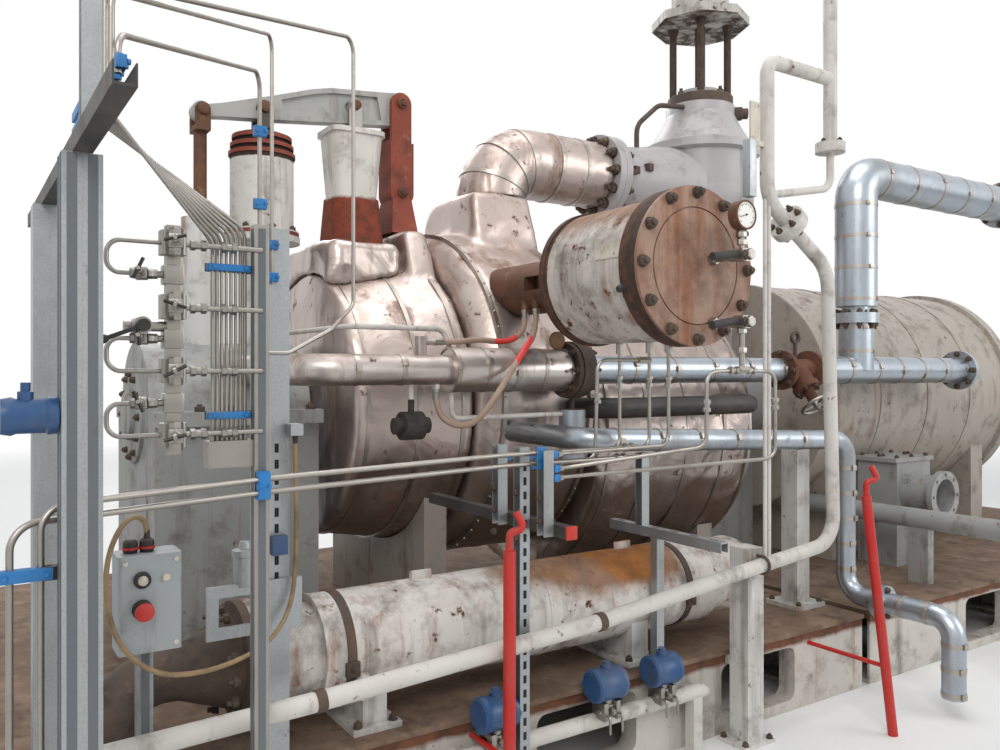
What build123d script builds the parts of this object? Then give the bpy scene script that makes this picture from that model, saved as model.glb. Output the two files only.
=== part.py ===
from build123d import *
import math
import os

os.makedirs("parts", exist_ok=True)

# Frame: X runs along the shaft line from the governor end to the compressor, Y points away from
# the operating side, Z is up. The origin is on the floor, under the shaft, at the coupling end.

# Clearance of a seat between two curved or painted faces
SEAT = 0.3

# Skids
SKID_HALF_WIDTH = 1500.0
BEAM_HEIGHT = 350.0
BEAM_FLANGE = 150.0
BEAM_WEB = 14.0
BEAM_FLANGE_THICK = 20.0
CROSS_FLANGE = 300.0
DECK_THICK = 20.0
DECK_OVERHANG = 12.0
TURBINE_SKID_START = -4350.0
TURBINE_SKID_END = -306.0
COMPRESSOR_SKID_START = -240.0
COMPRESSOR_SKID_END = 3700.0
CROSS_BEAMS = 5
WINDOW_LENGTH = 500.0
WINDOW_HEIGHT = 250.0
WINDOW_RADIUS = 45.0
WINDOW_LINING = 90.0
WINDOW_LINING_THICK = 8.0
WINDOW_END = 527.0
WINDOW_PITCH = 1000.0
WINDOWS = 3
DECK_TOP = BEAM_HEIGHT + DECK_THICK
STAY_Z = 329.0
STAY_HEIGHT = 38.0

# Shaft line and casings
SHAFT_HEIGHT = 1400.0
PEDESTAL_START = -3480.0
PEDESTAL_LENGTH = 700.0
PEDESTAL_HALF = 430.0
PEDESTAL_CAP_RADIUS = 330.0
CHEST_START = -2690.0
CHEST_END = -2300.0
CHEST_HALF = 330.0
CHEST_TOP = 2240.0
GOVERNOR_END_HEIGHT = 1440.0
GOVERNOR_END_SMALL = 640.0
GOVERNOR_END_LARGE = 740.0
CASING_START = -2130.0
CASING_END = -1440.0
CASING_RADIUS = 850.0
CASING_HEIGHT = 1480.0
EXHAUST_END = -240.0
EXHAUST_RADIUS = 800.0
EXHAUST_HEIGHT = 1270.0
INLET_HEIGHT = 2810.0
HUMP_DROP = 240.0

# Strut channel and the front trio that carries the small tubes
STRUT = 41.0
CHANNEL_X = -2440.0
CHANNEL_Z = 1036.0
TRIO_PITCH = 142.0
TRIO_FRONT = -1756.0
TRIO_TOP = 1330.0
TRIO_X = CHANNEL_X - STRUT - SEAT
TRIO_FACE = TRIO_X + STRUT / 2 + SEAT

# Governor lever gear
LEVER_PIVOT_X = -2180.0
LEVER_PIVOT_Z = 3009.0
LEVER_TILT = 10.9
LEVER_EYE_ARM = 1034.0
LEVER_ROD_ARM = 736.0
LEVER_SPINDLE_ARM = 262.0
LEVER_THICK = 70.0
LEVER_PIN = 40.0
LINK_DROP = 472.0


def flange_at(plane, outer, thickness, bolts=0, bolt_hole=18.0, pitch_circle=0.0):
    """Add a round flange, with its bolt holes, from a plane."""
    with BuildSketch(plane) as ring:
        Circle(outer / 2)
        if bolts:
            with PolarLocations(pitch_circle / 2, bolts):
                Circle(bolt_hole / 2, mode=Mode.SUBTRACT)
    extrude(ring.sketch, amount=thickness)


def pipe_along(points, outer, bend):
    """Add a round pipe along straight runs joined by tangent bends."""
    with BuildLine() as route:
        if len(points) == 2:
            Line(points[0], points[1])
        else:
            FilletPolyline(*points, radius=bend)
    with BuildSketch(Plane(origin=route.line @ 0, z_dir=route.line % 0)) as section:
        Circle(outer / 2)
    sweep(section.sketch, path=route.line)


def cord_along(points, diameter):
    """Add a cord's tube: straight runs joined by the widest arcs that they allow."""
    radii = []
    for before, here, after in zip(points, points[1:], points[2:]):
        run_in = Vector(*here) - Vector(*before)
        run_out = Vector(*after) - Vector(*here)
        half_turn = math.radians(run_in.get_angle(run_out)) / 2
        radii.append(0.45 * min(run_in.length, run_out.length) / math.tan(half_turn))
    with BuildLine() as route:
        FilletPolyline(*points, radius=radii)
    with BuildSketch(Plane(origin=route.line @ 0, z_dir=route.line % 0)) as section:
        Circle(diameter / 2)
    sweep(section.sketch, path=route.line)


def finish(builder, name):
    """Label a finished piece and write it."""
    builder.part.label = name
    export_step(builder.part, f"parts/{name}.step")


def across_x(x, y=0.0, z=0.0):
    """A plane whose normal runs along +X."""
    return Plane(origin=(x, y, z), x_dir=(0, 1, 0), z_dir=(1, 0, 0))


def across_y(x, y, z):
    """A plane whose normal runs along +Y."""
    return Plane(origin=(x, y, z), x_dir=(-1, 0, 0), z_dir=(0, 1, 0))


def level(x, y, z):
    """A plane whose normal runs up."""
    return Plane(origin=(x, y, z), x_dir=(1, 0, 0), z_dir=(0, 0, 1))


# Side beams of both skids: channels with lined windows in their webs
SKIDS = ((TURBINE_SKID_START, TURBINE_SKID_END), (COMPRESSOR_SKID_START, COMPRESSOR_SKID_END))
WINDOW_Z = BEAM_HEIGHT / 2

with BuildPart() as skid_side_beams:
    for start, end in SKIDS:
        for side in (-1, 1):
            face = side * SKID_HALF_WIDTH
            with BuildSketch(across_x(start)):
                with Locations((face - side * BEAM_FLANGE / 2, BEAM_HEIGHT / 2)):
                    Rectangle(BEAM_FLANGE, BEAM_HEIGHT)
                inner = BEAM_FLANGE - BEAM_WEB
                with Locations((face - side * (BEAM_WEB + inner / 2), BEAM_HEIGHT / 2)):
                    Rectangle(inner, BEAM_HEIGHT - 2 * BEAM_FLANGE_THICK, mode=Mode.SUBTRACT)
            extrude(amount=end - start)
            for index in range(WINDOWS):
                x = end - WINDOW_END - WINDOW_LENGTH / 2 - index * WINDOW_PITCH
                lining = Plane(origin=(x, face, WINDOW_Z), x_dir=(1, 0, 0), z_dir=(0, -side, 0))
                with BuildSketch(lining):
                    RectangleRounded(WINDOW_LENGTH + 2 * WINDOW_LINING_THICK,
                                     WINDOW_HEIGHT + 2 * WINDOW_LINING_THICK,
                                     WINDOW_RADIUS + WINDOW_LINING_THICK)
                extrude(amount=WINDOW_LINING)
                with BuildSketch(lining):
                    RectangleRounded(WINDOW_LENGTH, WINDOW_HEIGHT, WINDOW_RADIUS)
                extrude(amount=WINDOW_LINING, mode=Mode.SUBTRACT)
finish(skid_side_beams, "skid_side_beams")

# Cross beams: wide-flange sections between the side beams
with BuildPart() as skid_cross_beams:
    cross_half = SKID_HALF_WIDTH - BEAM_FLANGE - SEAT
    for start, end in SKIDS:
        pitch = (end - start - CROSS_FLANGE) / (CROSS_BEAMS - 1)
        for index in range(CROSS_BEAMS):
            x = start + CROSS_FLANGE / 2 + index * pitch
            with BuildSketch(across_y(x, -cross_half, BEAM_HEIGHT / 2)):
                Rectangle(CROSS_FLANGE, BEAM_HEIGHT)
                for side in (-1, 1):
                    with Locations((side * (CROSS_FLANGE + BEAM_WEB) / 4, 0)):
                        Rectangle((CROSS_FLANGE - BEAM_WEB) / 2, BEAM_HEIGHT - 2 * BEAM_FLANGE_THICK,
                                  mode=Mode.SUBTRACT)
            extrude(amount=2 * cross_half)
finish(skid_cross_beams, "skid_cross_beams")

# Deck plates
with BuildPart() as skid_decks:
    for start, end in SKIDS:
        with BuildSketch(level((start + end) / 2, 0, BEAM_HEIGHT)):
            Rectangle(end - start, 2 * (SKID_HALF_WIDTH + DECK_OVERHANG))
        extrude(amount=DECK_THICK)
finish(skid_decks, "skid_decks")

# Front bearing pedestal with its half-round cap
PEDESTAL_END = PEDESTAL_START + PEDESTAL_LENGTH
PEDESTAL_JOINT = 60.0
with BuildPart() as front_pedestal:
    with BuildSketch(across_x(PEDESTAL_START)):
        with Locations((0, (DECK_TOP + SHAFT_HEIGHT) / 2)):
            Rectangle(2 * PEDESTAL_HALF, SHAFT_HEIGHT - DECK_TOP)
        with Locations((0, SHAFT_HEIGHT)):
            Circle(PEDESTAL_CAP_RADIUS)
        with Locations((0, SHAFT_HEIGHT)):
            Rectangle(2 * PEDESTAL_HALF + 2 * PEDESTAL_JOINT, PEDESTAL_JOINT)
    extrude(amount=PEDESTAL_LENGTH)
finish(front_pedestal, "front_pedestal")

# Stand of the lever servo, on the pedestal cap
SERVO_X = LEVER_PIVOT_X - LEVER_ROD_ARM * math.cos(math.radians(LEVER_TILT))
SERVO_DIAMETER = 300.0
SERVO_BOTTOM = 2250.0
SERVO_TOP = 2744.0
STAND_DIAMETER = 200.0
with BuildPart() as servo_stand:
    with BuildSketch(level(SERVO_X, 0, SHAFT_HEIGHT)):
        Circle(STAND_DIAMETER / 2)
    extrude(amount=SERVO_BOTTOM - SHAFT_HEIGHT)
    flange_at(level(SERVO_X, 0, SERVO_BOTTOM - 30), SERVO_DIAMETER + 60, 30, 8, 18, SERVO_DIAMETER + 20)
    with BuildSketch(across_x(PEDESTAL_START - 1)):
        with Locations((0, SHAFT_HEIGHT)):
            Circle(PEDESTAL_CAP_RADIUS + SEAT)
    extrude(amount=PEDESTAL_LENGTH + 2, mode=Mode.SUBTRACT)
    with BuildSketch(level(SERVO_X, 0, DECK_TOP)):
        Circle(STAND_DIAMETER)
    extrude(amount=SHAFT_HEIGHT + PEDESTAL_CAP_RADIUS * 0.8 - DECK_TOP, mode=Mode.SUBTRACT)
finish(servo_stand, "servo_stand")

# Servo cylinder with its ringed head
RING = 22.0
with BuildPart() as servo_cylinder:
    with BuildSketch(level(SERVO_X, 0, SERVO_BOTTOM)):
        Circle(SERVO_DIAMETER / 2)
    extrude(amount=SERVO_TOP - SERVO_BOTTOM - 110)
    flange_at(level(SERVO_X, 0, SERVO_BOTTOM), SERVO_DIAMETER + 50, 28)
    for index in range(3):
        z = SERVO_TOP - 110 + index * 40
        flange_at(level(SERVO_X, 0, z), SERVO_DIAMETER + 12 - 16 * index, RING)
        flange_at(level(SERVO_X, 0, z), SERVO_DIAMETER - 30 - 16 * index, 40 if index < 2 else 30)
    with BuildSketch(level(SERVO_X, 0, SERVO_TOP + 40)):
        Circle(LEVER_PIN / 2 + SEAT)
    extrude(amount=-250, mode=Mode.SUBTRACT)
finish(servo_cylinder, "servo_cylinder")


def stay_to_skid(x, start, width=36.0):
    """Add a short bar from a front upright back to the side beam, above its windows."""
    with BuildSketch(across_y(x, start, STAY_Z)) as bar:
        Rectangle(width, STAY_HEIGHT)
    extrude(bar.sketch, amount=-SKID_HALF_WIDTH - SEAT - start)


def on_lever(arm, rise=0.0):
    """A point of the lever's centre line, at a distance from its pivot."""
    tilt = math.radians(LEVER_TILT)
    x = LEVER_PIVOT_X - arm * math.cos(tilt) - rise * math.sin(tilt)
    z = LEVER_PIVOT_Z - arm * math.sin(tilt) + rise * math.cos(tilt)
    return x, z


# Governor lever: an I-section beam, deepest over the valve, that tapers to an eye; its web takes
# the two slotted holes
LEVER_PLANE = Plane(origin=(LEVER_PIVOT_X, 0, LEVER_PIVOT_Z),
                    x_dir=(-math.cos(math.radians(LEVER_TILT)), 0, -math.sin(math.radians(LEVER_TILT))),
                    z_dir=(0, 1, 0))
EYE_RADIUS = 44.0
LEVER_DEPTH = 160.0
SLOT_TRAVEL = 30.0
PIN_CLEARANCE = 5.0
POCKET_DEPTH = 18.0
EYE_NECK = 94.0
HEEL = 45.0
with BuildPart() as governor_lever:
    with BuildSketch(LEVER_PLANE):
        with Locations((LEVER_EYE_ARM, 0)):
            Circle(EYE_RADIUS)
        with BuildLine():
            Polyline((-HEEL, 0.38 * LEVER_DEPTH), (0.1 * LEVER_ROD_ARM, 0.42 * LEVER_DEPTH),
                     (0.5 * LEVER_ROD_ARM, 0.59 * LEVER_DEPTH), (0.64 * LEVER_ROD_ARM, 0.56 * LEVER_DEPTH),
                     (0.94 * LEVER_ROD_ARM, 0.37 * LEVER_DEPTH), (LEVER_EYE_ARM - EYE_NECK, 0.7 * EYE_RADIUS),
                     (LEVER_EYE_ARM, 0.6 * EYE_RADIUS), (LEVER_EYE_ARM, -0.6 * EYE_RADIUS),
                     (LEVER_EYE_ARM - EYE_NECK, -0.7 * EYE_RADIUS), (0.94 * LEVER_ROD_ARM, -0.34 * LEVER_DEPTH),
                     (0.5 * LEVER_ROD_ARM, -0.5 * LEVER_DEPTH), (0.1 * LEVER_ROD_ARM, -0.65 * LEVER_DEPTH),
                     (-HEEL, -0.58 * LEVER_DEPTH), close=True)
        make_face()
    extrude(amount=LEVER_THICK / 2, both=True)
    for side in (-1, 1):
        with BuildSketch(LEVER_PLANE.offset(side * LEVER_THICK / 2)):
            with BuildLine():
                Polyline((0.16 * LEVER_ROD_ARM, 0.28 * LEVER_DEPTH), (0.5 * LEVER_ROD_ARM, 0.44 * LEVER_DEPTH),
                         (0.64 * LEVER_ROD_ARM, 0.41 * LEVER_DEPTH), (0.87 * LEVER_ROD_ARM, 0.26 * LEVER_DEPTH),
                         (0.87 * LEVER_ROD_ARM, -0.22 * LEVER_DEPTH), (0.5 * LEVER_ROD_ARM, -0.35 * LEVER_DEPTH),
                         (0.16 * LEVER_ROD_ARM, -0.475 * LEVER_DEPTH), close=True)
            make_face()
        extrude(amount=-side * POCKET_DEPTH, mode=Mode.SUBTRACT)
    with BuildSketch(LEVER_PLANE.offset(-LEVER_THICK)):
        Circle(LEVER_PIN / 2 + PIN_CLEARANCE / 10)
        for arm in (LEVER_ROD_ARM, LEVER_SPINDLE_ARM):
            with Locations((arm, 0)):
                SlotOverall(LEVER_PIN + 2 * PIN_CLEARANCE + SLOT_TRAVEL, LEVER_PIN + 2 * PIN_CLEARANCE)
        with Locations((LEVER_EYE_ARM, 0)):
            Circle(LEVER_PIN / 2 + PIN_CLEARANCE / 10)
    extrude(amount=2 * LEVER_THICK, mode=Mode.SUBTRACT)
finish(governor_lever, "governor_lever")

# Anchor link: a fork round the lever, with the pivot pin, on a bar with its bracket at the foot
FORK_GAP = 6.0
FORK_CHEEK = 26.0
FORK_WIDTH = 115.0
FORK_DEPTH = 190.0
BRACKET_HEIGHT = 160.0
LINK_SHOULDER = 205.0
LINK_FOOT_Z = LEVER_PIVOT_Z - LINK_DROP - FORK_WIDTH / 2
BRACKET_BASE = LINK_FOOT_Z - BRACKET_HEIGHT
link_plane = Plane(origin=(LEVER_PIVOT_X, 0, LEVER_PIVOT_Z), x_dir=(1, 0, 0), z_dir=(0, -1, 0))
with BuildPart() as anchor_link:
    fork_half = LEVER_THICK / 2 + FORK_GAP + FORK_CHEEK
    with BuildSketch(link_plane):
        Circle(FORK_WIDTH / 2)
        with Locations((0, -LINK_DROP / 2)):
            Rectangle(FORK_WIDTH, LINK_DROP)
        with Locations((0, -LINK_DROP)):
            Circle(FORK_WIDTH / 2)
    extrude(amount=fork_half, both=True)
    with BuildSketch(link_plane):
        with Locations((0, (FORK_WIDTH - FORK_DEPTH) / 2)):
            Rectangle(2 * FORK_WIDTH, FORK_DEPTH + FORK_WIDTH)
    extrude(amount=LEVER_THICK / 2 + FORK_GAP, both=True, mode=Mode.SUBTRACT)
    with BuildSketch(link_plane):
        with Locations((0, -(LINK_SHOULDER + LINK_DROP) / 2)):
            Rectangle(FORK_WIDTH + 18, LINK_DROP - LINK_SHOULDER)
        with Locations((0, -LINK_DROP)):
            Circle(FORK_WIDTH / 2 + 9)
    extrude(amount=fork_half + 8, both=True)
    with BuildSketch(link_plane):
        Circle(LEVER_PIN / 2)
    extrude(amount=fork_half + 20, both=True)
    with BuildSketch(level(LEVER_PIVOT_X - 5, 0, BRACKET_BASE)):
        Rectangle(150, 240)
    with BuildSketch(level(LEVER_PIVOT_X, 0, LINK_FOOT_Z + 20)):
        Rectangle(110, 150)
    loft()
finish(anchor_link, "anchor_link")

# Valve column: a four-sided casting that widens to its top plate, on a flared foot
SPINDLE_X, SPINDLE_Z = on_lever(LEVER_SPINDLE_ARM)
COLUMN_TOP = SPINDLE_Z - 132.0
COLUMN_FOOT_TOP = 2480.0
COLUMN_WIDTH = 256.0
COLUMN_DEPTH = 230.0
COLUMN_HEAD = 300.0
COLUMN_CORNER = 55.0
SPINDLE = 44.0
GUIDE_BUSH = 40.0
with BuildPart() as valve_column:
    with BuildSketch(level(SPINDLE_X, 0, COLUMN_FOOT_TOP)):
        RectangleRounded(COLUMN_WIDTH - 30, COLUMN_DEPTH - 20, COLUMN_CORNER)
    with BuildSketch(level(SPINDLE_X, 0, COLUMN_TOP - 24)):
        RectangleRounded(COLUMN_HEAD - 24, COLUMN_DEPTH + 6, COLUMN_CORNER)
    loft()
    with BuildSketch(level(SPINDLE_X, 0, COLUMN_TOP - 24)):
        RectangleRounded(COLUMN_HEAD, COLUMN_DEPTH + 30, COLUMN_CORNER)
    extrude(amount=24)
    with BuildSketch(level(SPINDLE_X, 0, CHEST_TOP)):
        RectangleRounded(COLUMN_WIDTH + 14, COLUMN_DEPTH + 90, COLUMN_CORNER + 20)
    with BuildSketch(level(SPINDLE_X, 0, COLUMN_FOOT_TOP)):
        RectangleRounded(COLUMN_WIDTH, COLUMN_DEPTH, COLUMN_CORNER + 20)
    loft()
    with BuildSketch(level(SPINDLE_X, 0, CHEST_TOP + 60)):
        Circle(SPINDLE / 2 + PIN_CLEARANCE)
    extrude(amount=COLUMN_TOP - CHEST_TOP - 60 - GUIDE_BUSH, mode=Mode.SUBTRACT)
    with BuildSketch(level(SPINDLE_X, 0, COLUMN_TOP)):
        Circle(SPINDLE / 2 + SEAT)
    extrude(amount=-2 * GUIDE_BUSH, mode=Mode.SUBTRACT)
finish(valve_column, "valve_column")

# Spindle with its fork round the lever
SPINDLE_FORK_HALF = LEVER_THICK / 2 + FORK_GAP + 20
with BuildPart() as valve_spindle:
    with BuildSketch(level(SPINDLE_X, 0, CHEST_TOP + 200)):
        Circle(SPINDLE / 2)
    extrude(amount=SPINDLE_Z - LEVER_DEPTH / 2 - 20 - CHEST_TOP - 200)
    with BuildSketch(Plane(origin=(SPINDLE_X, 0, SPINDLE_Z), x_dir=(1, 0, 0), z_dir=(0, -1, 0))):
        Circle(36)
        with Locations((0, -59)):
            Rectangle(72, 118)
    extrude(amount=SPINDLE_FORK_HALF, both=True)
    with BuildSketch(Plane(origin=(SPINDLE_X, 0, SPINDLE_Z), x_dir=(1, 0, 0), z_dir=(0, -1, 0))):
        with Locations((0, 20)):
            Rectangle(200, 236)
    extrude(amount=LEVER_THICK / 2 + FORK_GAP, both=True, mode=Mode.SUBTRACT)
    with BuildSketch(Plane(origin=(SPINDLE_X, 0, SPINDLE_Z), x_dir=(1, 0, 0), z_dir=(0, -1, 0))):
        Circle(LEVER_PIN / 2)
    extrude(amount=SPINDLE_FORK_HALF + 12, both=True)
finish(valve_spindle, "valve_spindle")

# Servo rod with its fork round the lever
ROD_X, ROD_Z = on_lever(LEVER_ROD_ARM)
SERVO_ROD = LEVER_PIN
with BuildPart() as servo_rod:
    with BuildSketch(level(ROD_X, 0, SERVO_TOP - 180)):
        Circle(SERVO_ROD / 2)
    extrude(amount=ROD_Z - 90 - SERVO_TOP + 180)
    fork_plane = Plane(origin=(ROD_X, 0, ROD_Z), x_dir=(1, 0, 0), z_dir=(0, -1, 0))
    with BuildSketch(fork_plane):
        Circle(34)
        with Locations((0, -48)):
            Rectangle(68, 96)
    extrude(amount=SPINDLE_FORK_HALF, both=True)
    with BuildSketch(fork_plane):
        with Locations((0, 10)):
            Rectangle(200, 172)
    extrude(amount=LEVER_THICK / 2 + FORK_GAP, both=True, mode=Mode.SUBTRACT)
    with BuildSketch(fork_plane):
        Circle(LEVER_PIN / 2)
    extrude(amount=SPINDLE_FORK_HALF + 12, both=True)
finish(servo_rod, "servo_rod")

# Feedback link hanging from the lever's eye
EYE_X, EYE_Z = on_lever(LEVER_EYE_ARM)
FEEDBACK_LENGTH = 560.0
FEEDBACK_TUBE = 60.0
with BuildPart() as feedback_link:
    eye_plane = Plane(origin=(EYE_X, 0, EYE_Z), x_dir=(1, 0, 0), z_dir=(0, -1, 0))
    with BuildSketch(eye_plane):
        Circle(34)
        with Locations((0, -48)):
            Rectangle(68, 96)
    extrude(amount=SPINDLE_FORK_HALF, both=True)
    with BuildSketch(eye_plane):
        with Locations((0, 10)):
            Rectangle(200, 162)
    extrude(amount=LEVER_THICK / 2 + FORK_GAP, both=True, mode=Mode.SUBTRACT)
    with BuildSketch(eye_plane):
        Circle(LEVER_PIN / 2)
    extrude(amount=SPINDLE_FORK_HALF + 12, both=True)
    with BuildSketch(level(EYE_X, 0, EYE_Z - 90)):
        Circle(FEEDBACK_TUBE / 2)
    extrude(amount=-FEEDBACK_LENGTH)
finish(feedback_link, "feedback_link")

# Cup that the feedback link dips into, on the pedestal
CUP_RADIUS = 85.0
CUP_WALL = 10.0
CUP_TOP = EYE_Z - FEEDBACK_LENGTH + 60
with BuildPart() as feedback_cup:
    with BuildSketch(level(EYE_X, 0, SHAFT_HEIGHT)):
        Circle(CUP_RADIUS)
    extrude(amount=CUP_TOP - SHAFT_HEIGHT)
    with BuildSketch(level(EYE_X, 0, CUP_TOP - 260)):
        Circle(CUP_RADIUS - CUP_WALL)
    extrude(amount=300, mode=Mode.SUBTRACT)
    with BuildSketch(across_x(PEDESTAL_START - 1)):
        with Locations((0, SHAFT_HEIGHT)):
            Circle(PEDESTAL_CAP_RADIUS + SEAT)
    extrude(amount=PEDESTAL_LENGTH + 2, mode=Mode.SUBTRACT)
    with BuildSketch(level(EYE_X, 0, DECK_TOP)):
        Circle(2 * CUP_RADIUS)
    extrude(amount=SHAFT_HEIGHT + PEDESTAL_CAP_RADIUS * 0.8 - DECK_TOP, mode=Mode.SUBTRACT)
finish(feedback_cup, "feedback_cup")

# Governor end cladding: a cone with a hipped top beside the casing
with BuildPart() as governor_end_cladding:
    with BuildSketch(across_x(CHEST_START, 0, GOVERNOR_END_HEIGHT)):
        Circle(GOVERNOR_END_SMALL)
    with BuildSketch(across_x(CASING_START, 0, GOVERNOR_END_HEIGHT)):
        Circle(GOVERNOR_END_LARGE)
    loft()
    hip_length = CASING_START - CHEST_END
    with BuildSketch(level(CHEST_END + hip_length / 2, 0, GOVERNOR_END_HEIGHT + 300)):
        Rectangle(hip_length, 1100)
    with BuildSketch(level(CASING_START - hip_length * 0.4, 0, BRACKET_BASE)):
        Rectangle(hip_length * 0.8, 520)
    loft()
finish(governor_end_cladding, "governor_end_cladding")

# Steam chest in its blankets, on the cone
with BuildPart() as steam_chest:
    with BuildSketch(level((CHEST_START + CHEST_END) / 2, 0, GOVERNOR_END_HEIGHT + 200)):
        RectangleRounded(CHEST_END - CHEST_START - 2 * SEAT, 2 * CHEST_HALF, 60)
    extrude(amount=CHEST_TOP - GOVERNOR_END_HEIGHT - 200)
    fillet(steam_chest.edges().group_by(Axis.Z)[-1], radius=50)
    with BuildSketch(across_x(CHEST_START, 0, GOVERNOR_END_HEIGHT)):
        Circle(GOVERNOR_END_SMALL + SEAT)
    with BuildSketch(across_x(CASING_START, 0, GOVERNOR_END_HEIGHT)):
        Circle(GOVERNOR_END_LARGE + SEAT)
    loft(mode=Mode.SUBTRACT)
finish(steam_chest, "steam_chest")

# Main casing cladding: drum with the raised inlet hump
HUMP_HALF = 340.0
HUMP_TOP = INLET_HEIGHT - HUMP_DROP
HUMP_START = -1900.0
HUMP_END = -1230.0
with BuildPart() as casing_cladding:
    with BuildSketch(across_x(CASING_START)):
        with Locations((0, CASING_HEIGHT)):
            Circle(CASING_RADIUS)
    extrude(amount=CASING_END - CASING_START)
    chamfer(casing_cladding.edges().filter_by(GeomType.CIRCLE), length=90)
    with BuildSketch(level((HUMP_START + CASING_END) / 2, 0, CASING_HEIGHT + 400)):
        Rectangle(CASING_END - HUMP_START, 2 * HUMP_HALF + 200)
    with BuildSketch(level((HUMP_START + CASING_END) / 2, 0, HUMP_TOP)):
        Rectangle((CASING_END - HUMP_START) * 0.85, 2 * HUMP_HALF - 160)
    loft()
finish(casing_cladding, "casing_cladding")

# Exhaust casing cladding: foil-wrapped drum
with BuildPart() as exhaust_cladding:
    with BuildSketch(across_x(CASING_END)):
        with Locations((0, EXHAUST_HEIGHT)):
            Circle(EXHAUST_RADIUS)
    extrude(amount=EXHAUST_END - CASING_END - 60)
    with BuildSketch(across_x(EXHAUST_END - 60)):
        with Locations((0, EXHAUST_HEIGHT)):
            Circle(EXHAUST_RADIUS - 60)
    extrude(amount=60)
finish(exhaust_cladding, "exhaust_cladding")

# Coupling guard on its stand, between the two machines
COUPLING_RADIUS = 300.0
COMPRESSOR_START = 430.0
COMPRESSOR_LENGTH = 2250.0
COMPRESSOR_RADIUS = 770.0
COMPRESSOR_HEIGHT = 1430.0
with BuildPart() as coupling_guard:
    with BuildSketch(across_x(EXHAUST_END)):
        with Locations((0, SHAFT_HEIGHT)):
            Circle(COUPLING_RADIUS)
        with Locations((0, (DECK_TOP + SHAFT_HEIGHT) / 2)):
            Rectangle(1.2 * COUPLING_RADIUS, SHAFT_HEIGHT - DECK_TOP)
    extrude(amount=COMPRESSOR_START - EXHAUST_END)
finish(coupling_guard, "coupling_guard")

# Compressor barrel
with BuildPart() as compressor_barrel:
    with BuildSketch(across_x(COMPRESSOR_START)):
        with Locations((0, COMPRESSOR_HEIGHT)):
            Circle(COMPRESSOR_RADIUS)
    extrude(amount=COMPRESSOR_LENGTH)
finish(compressor_barrel, "compressor_barrel")

# Domed end cover and its bearing housing
DOME_LENGTH = 420.0
with BuildPart() as compressor_end_cover:
    with BuildSketch(across_x(COMPRESSOR_START + COMPRESSOR_LENGTH)):
        with Locations((0, COMPRESSOR_HEIGHT)):
            Circle(COMPRESSOR_RADIUS)
    with BuildSketch(across_x(COMPRESSOR_START + COMPRESSOR_LENGTH + DOME_LENGTH)):
        with Locations((0, COMPRESSOR_HEIGHT)):
            Circle(0.55 * COMPRESSOR_RADIUS)
    loft()
    with BuildSketch(across_x(COMPRESSOR_START + COMPRESSOR_LENGTH + DOME_LENGTH)):
        with Locations((0, COMPRESSOR_HEIGHT)):
            Circle(0.4 * COMPRESSOR_RADIUS)
    extrude(amount=380)
finish(compressor_end_cover, "compressor_end_cover")

# Machine supports: saddle plates from the deck to both machines
SUPPORT_THICK = 120.0
SUPPORT_HALF = 560.0
FOOT_THICK = 160.0
FOOT_INSET = 200.0
with BuildPart() as machine_supports:
    for x in (CASING_START - SUPPORT_THICK - 60, EXHAUST_END - 260):
        with BuildSketch(across_x(x)):
            with Locations((0, (DECK_TOP + EXHAUST_HEIGHT) / 2)):
                Rectangle(2 * SUPPORT_HALF, EXHAUST_HEIGHT - DECK_TOP)
        extrude(amount=SUPPORT_THICK)
    for x in (COMPRESSOR_START + FOOT_INSET, COMPRESSOR_START + COMPRESSOR_LENGTH - FOOT_INSET - FOOT_THICK):
        with BuildSketch(across_x(x)):
            with Locations((0, (DECK_TOP + COMPRESSOR_HEIGHT) / 2)):
                Rectangle(2 * SUPPORT_HALF + 200, COMPRESSOR_HEIGHT - DECK_TOP)
        extrude(amount=FOOT_THICK)
    with BuildSketch(across_x(CASING_END - 1)):
        with Locations((0, EXHAUST_HEIGHT)):
            Circle(EXHAUST_RADIUS + SEAT)
    extrude(amount=EXHAUST_END - CASING_END + 2, mode=Mode.SUBTRACT)
    with BuildSketch(across_x(CHEST_START, 0, GOVERNOR_END_HEIGHT)):
        Circle(GOVERNOR_END_SMALL + SEAT)
    with BuildSketch(across_x(CASING_START, 0, GOVERNOR_END_HEIGHT)):
        Circle(GOVERNOR_END_LARGE + SEAT)
    loft(mode=Mode.SUBTRACT)
    with BuildSketch(across_x(COMPRESSOR_START)):
        with Locations((0, COMPRESSOR_HEIGHT)):
            Circle(COMPRESSOR_RADIUS + SEAT)
    extrude(amount=COMPRESSOR_LENGTH, mode=Mode.SUBTRACT)
finish(machine_supports, "machine_supports")

# Inlet elbow in its cladding, from the hump to the flange pair
ELBOW_DIAMETER = 400.0
ELBOW_X = -1580.0
INLET_FLANGE_X = -815.0
INLET_FLANGE = 505.0
FLANGE_THICK = 46.0
with BuildPart() as inlet_elbow:
    elbow_bend = HUMP_DROP - 5
    pipe_along([(ELBOW_X, 0, HUMP_TOP), (ELBOW_X, 0, INLET_HEIGHT), (INLET_FLANGE_X, 0, INLET_HEIGHT)],
               ELBOW_DIAMETER, elbow_bend)
finish(inlet_elbow, "inlet_elbow")

# Inlet flange pair
INLET_BOLTS = 12
INLET_PITCH_CIRCLE = 430.0
with BuildPart() as inlet_flanges:
    for index in range(2):
        x = INLET_FLANGE_X + index * (FLANGE_THICK + 2)
        flange_at(across_x(x, 0, INLET_HEIGHT), INLET_FLANGE, FLANGE_THICK, INLET_BOLTS, 33.0, INLET_PITCH_CIRCLE)
finish(inlet_flanges, "inlet_flanges")

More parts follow.
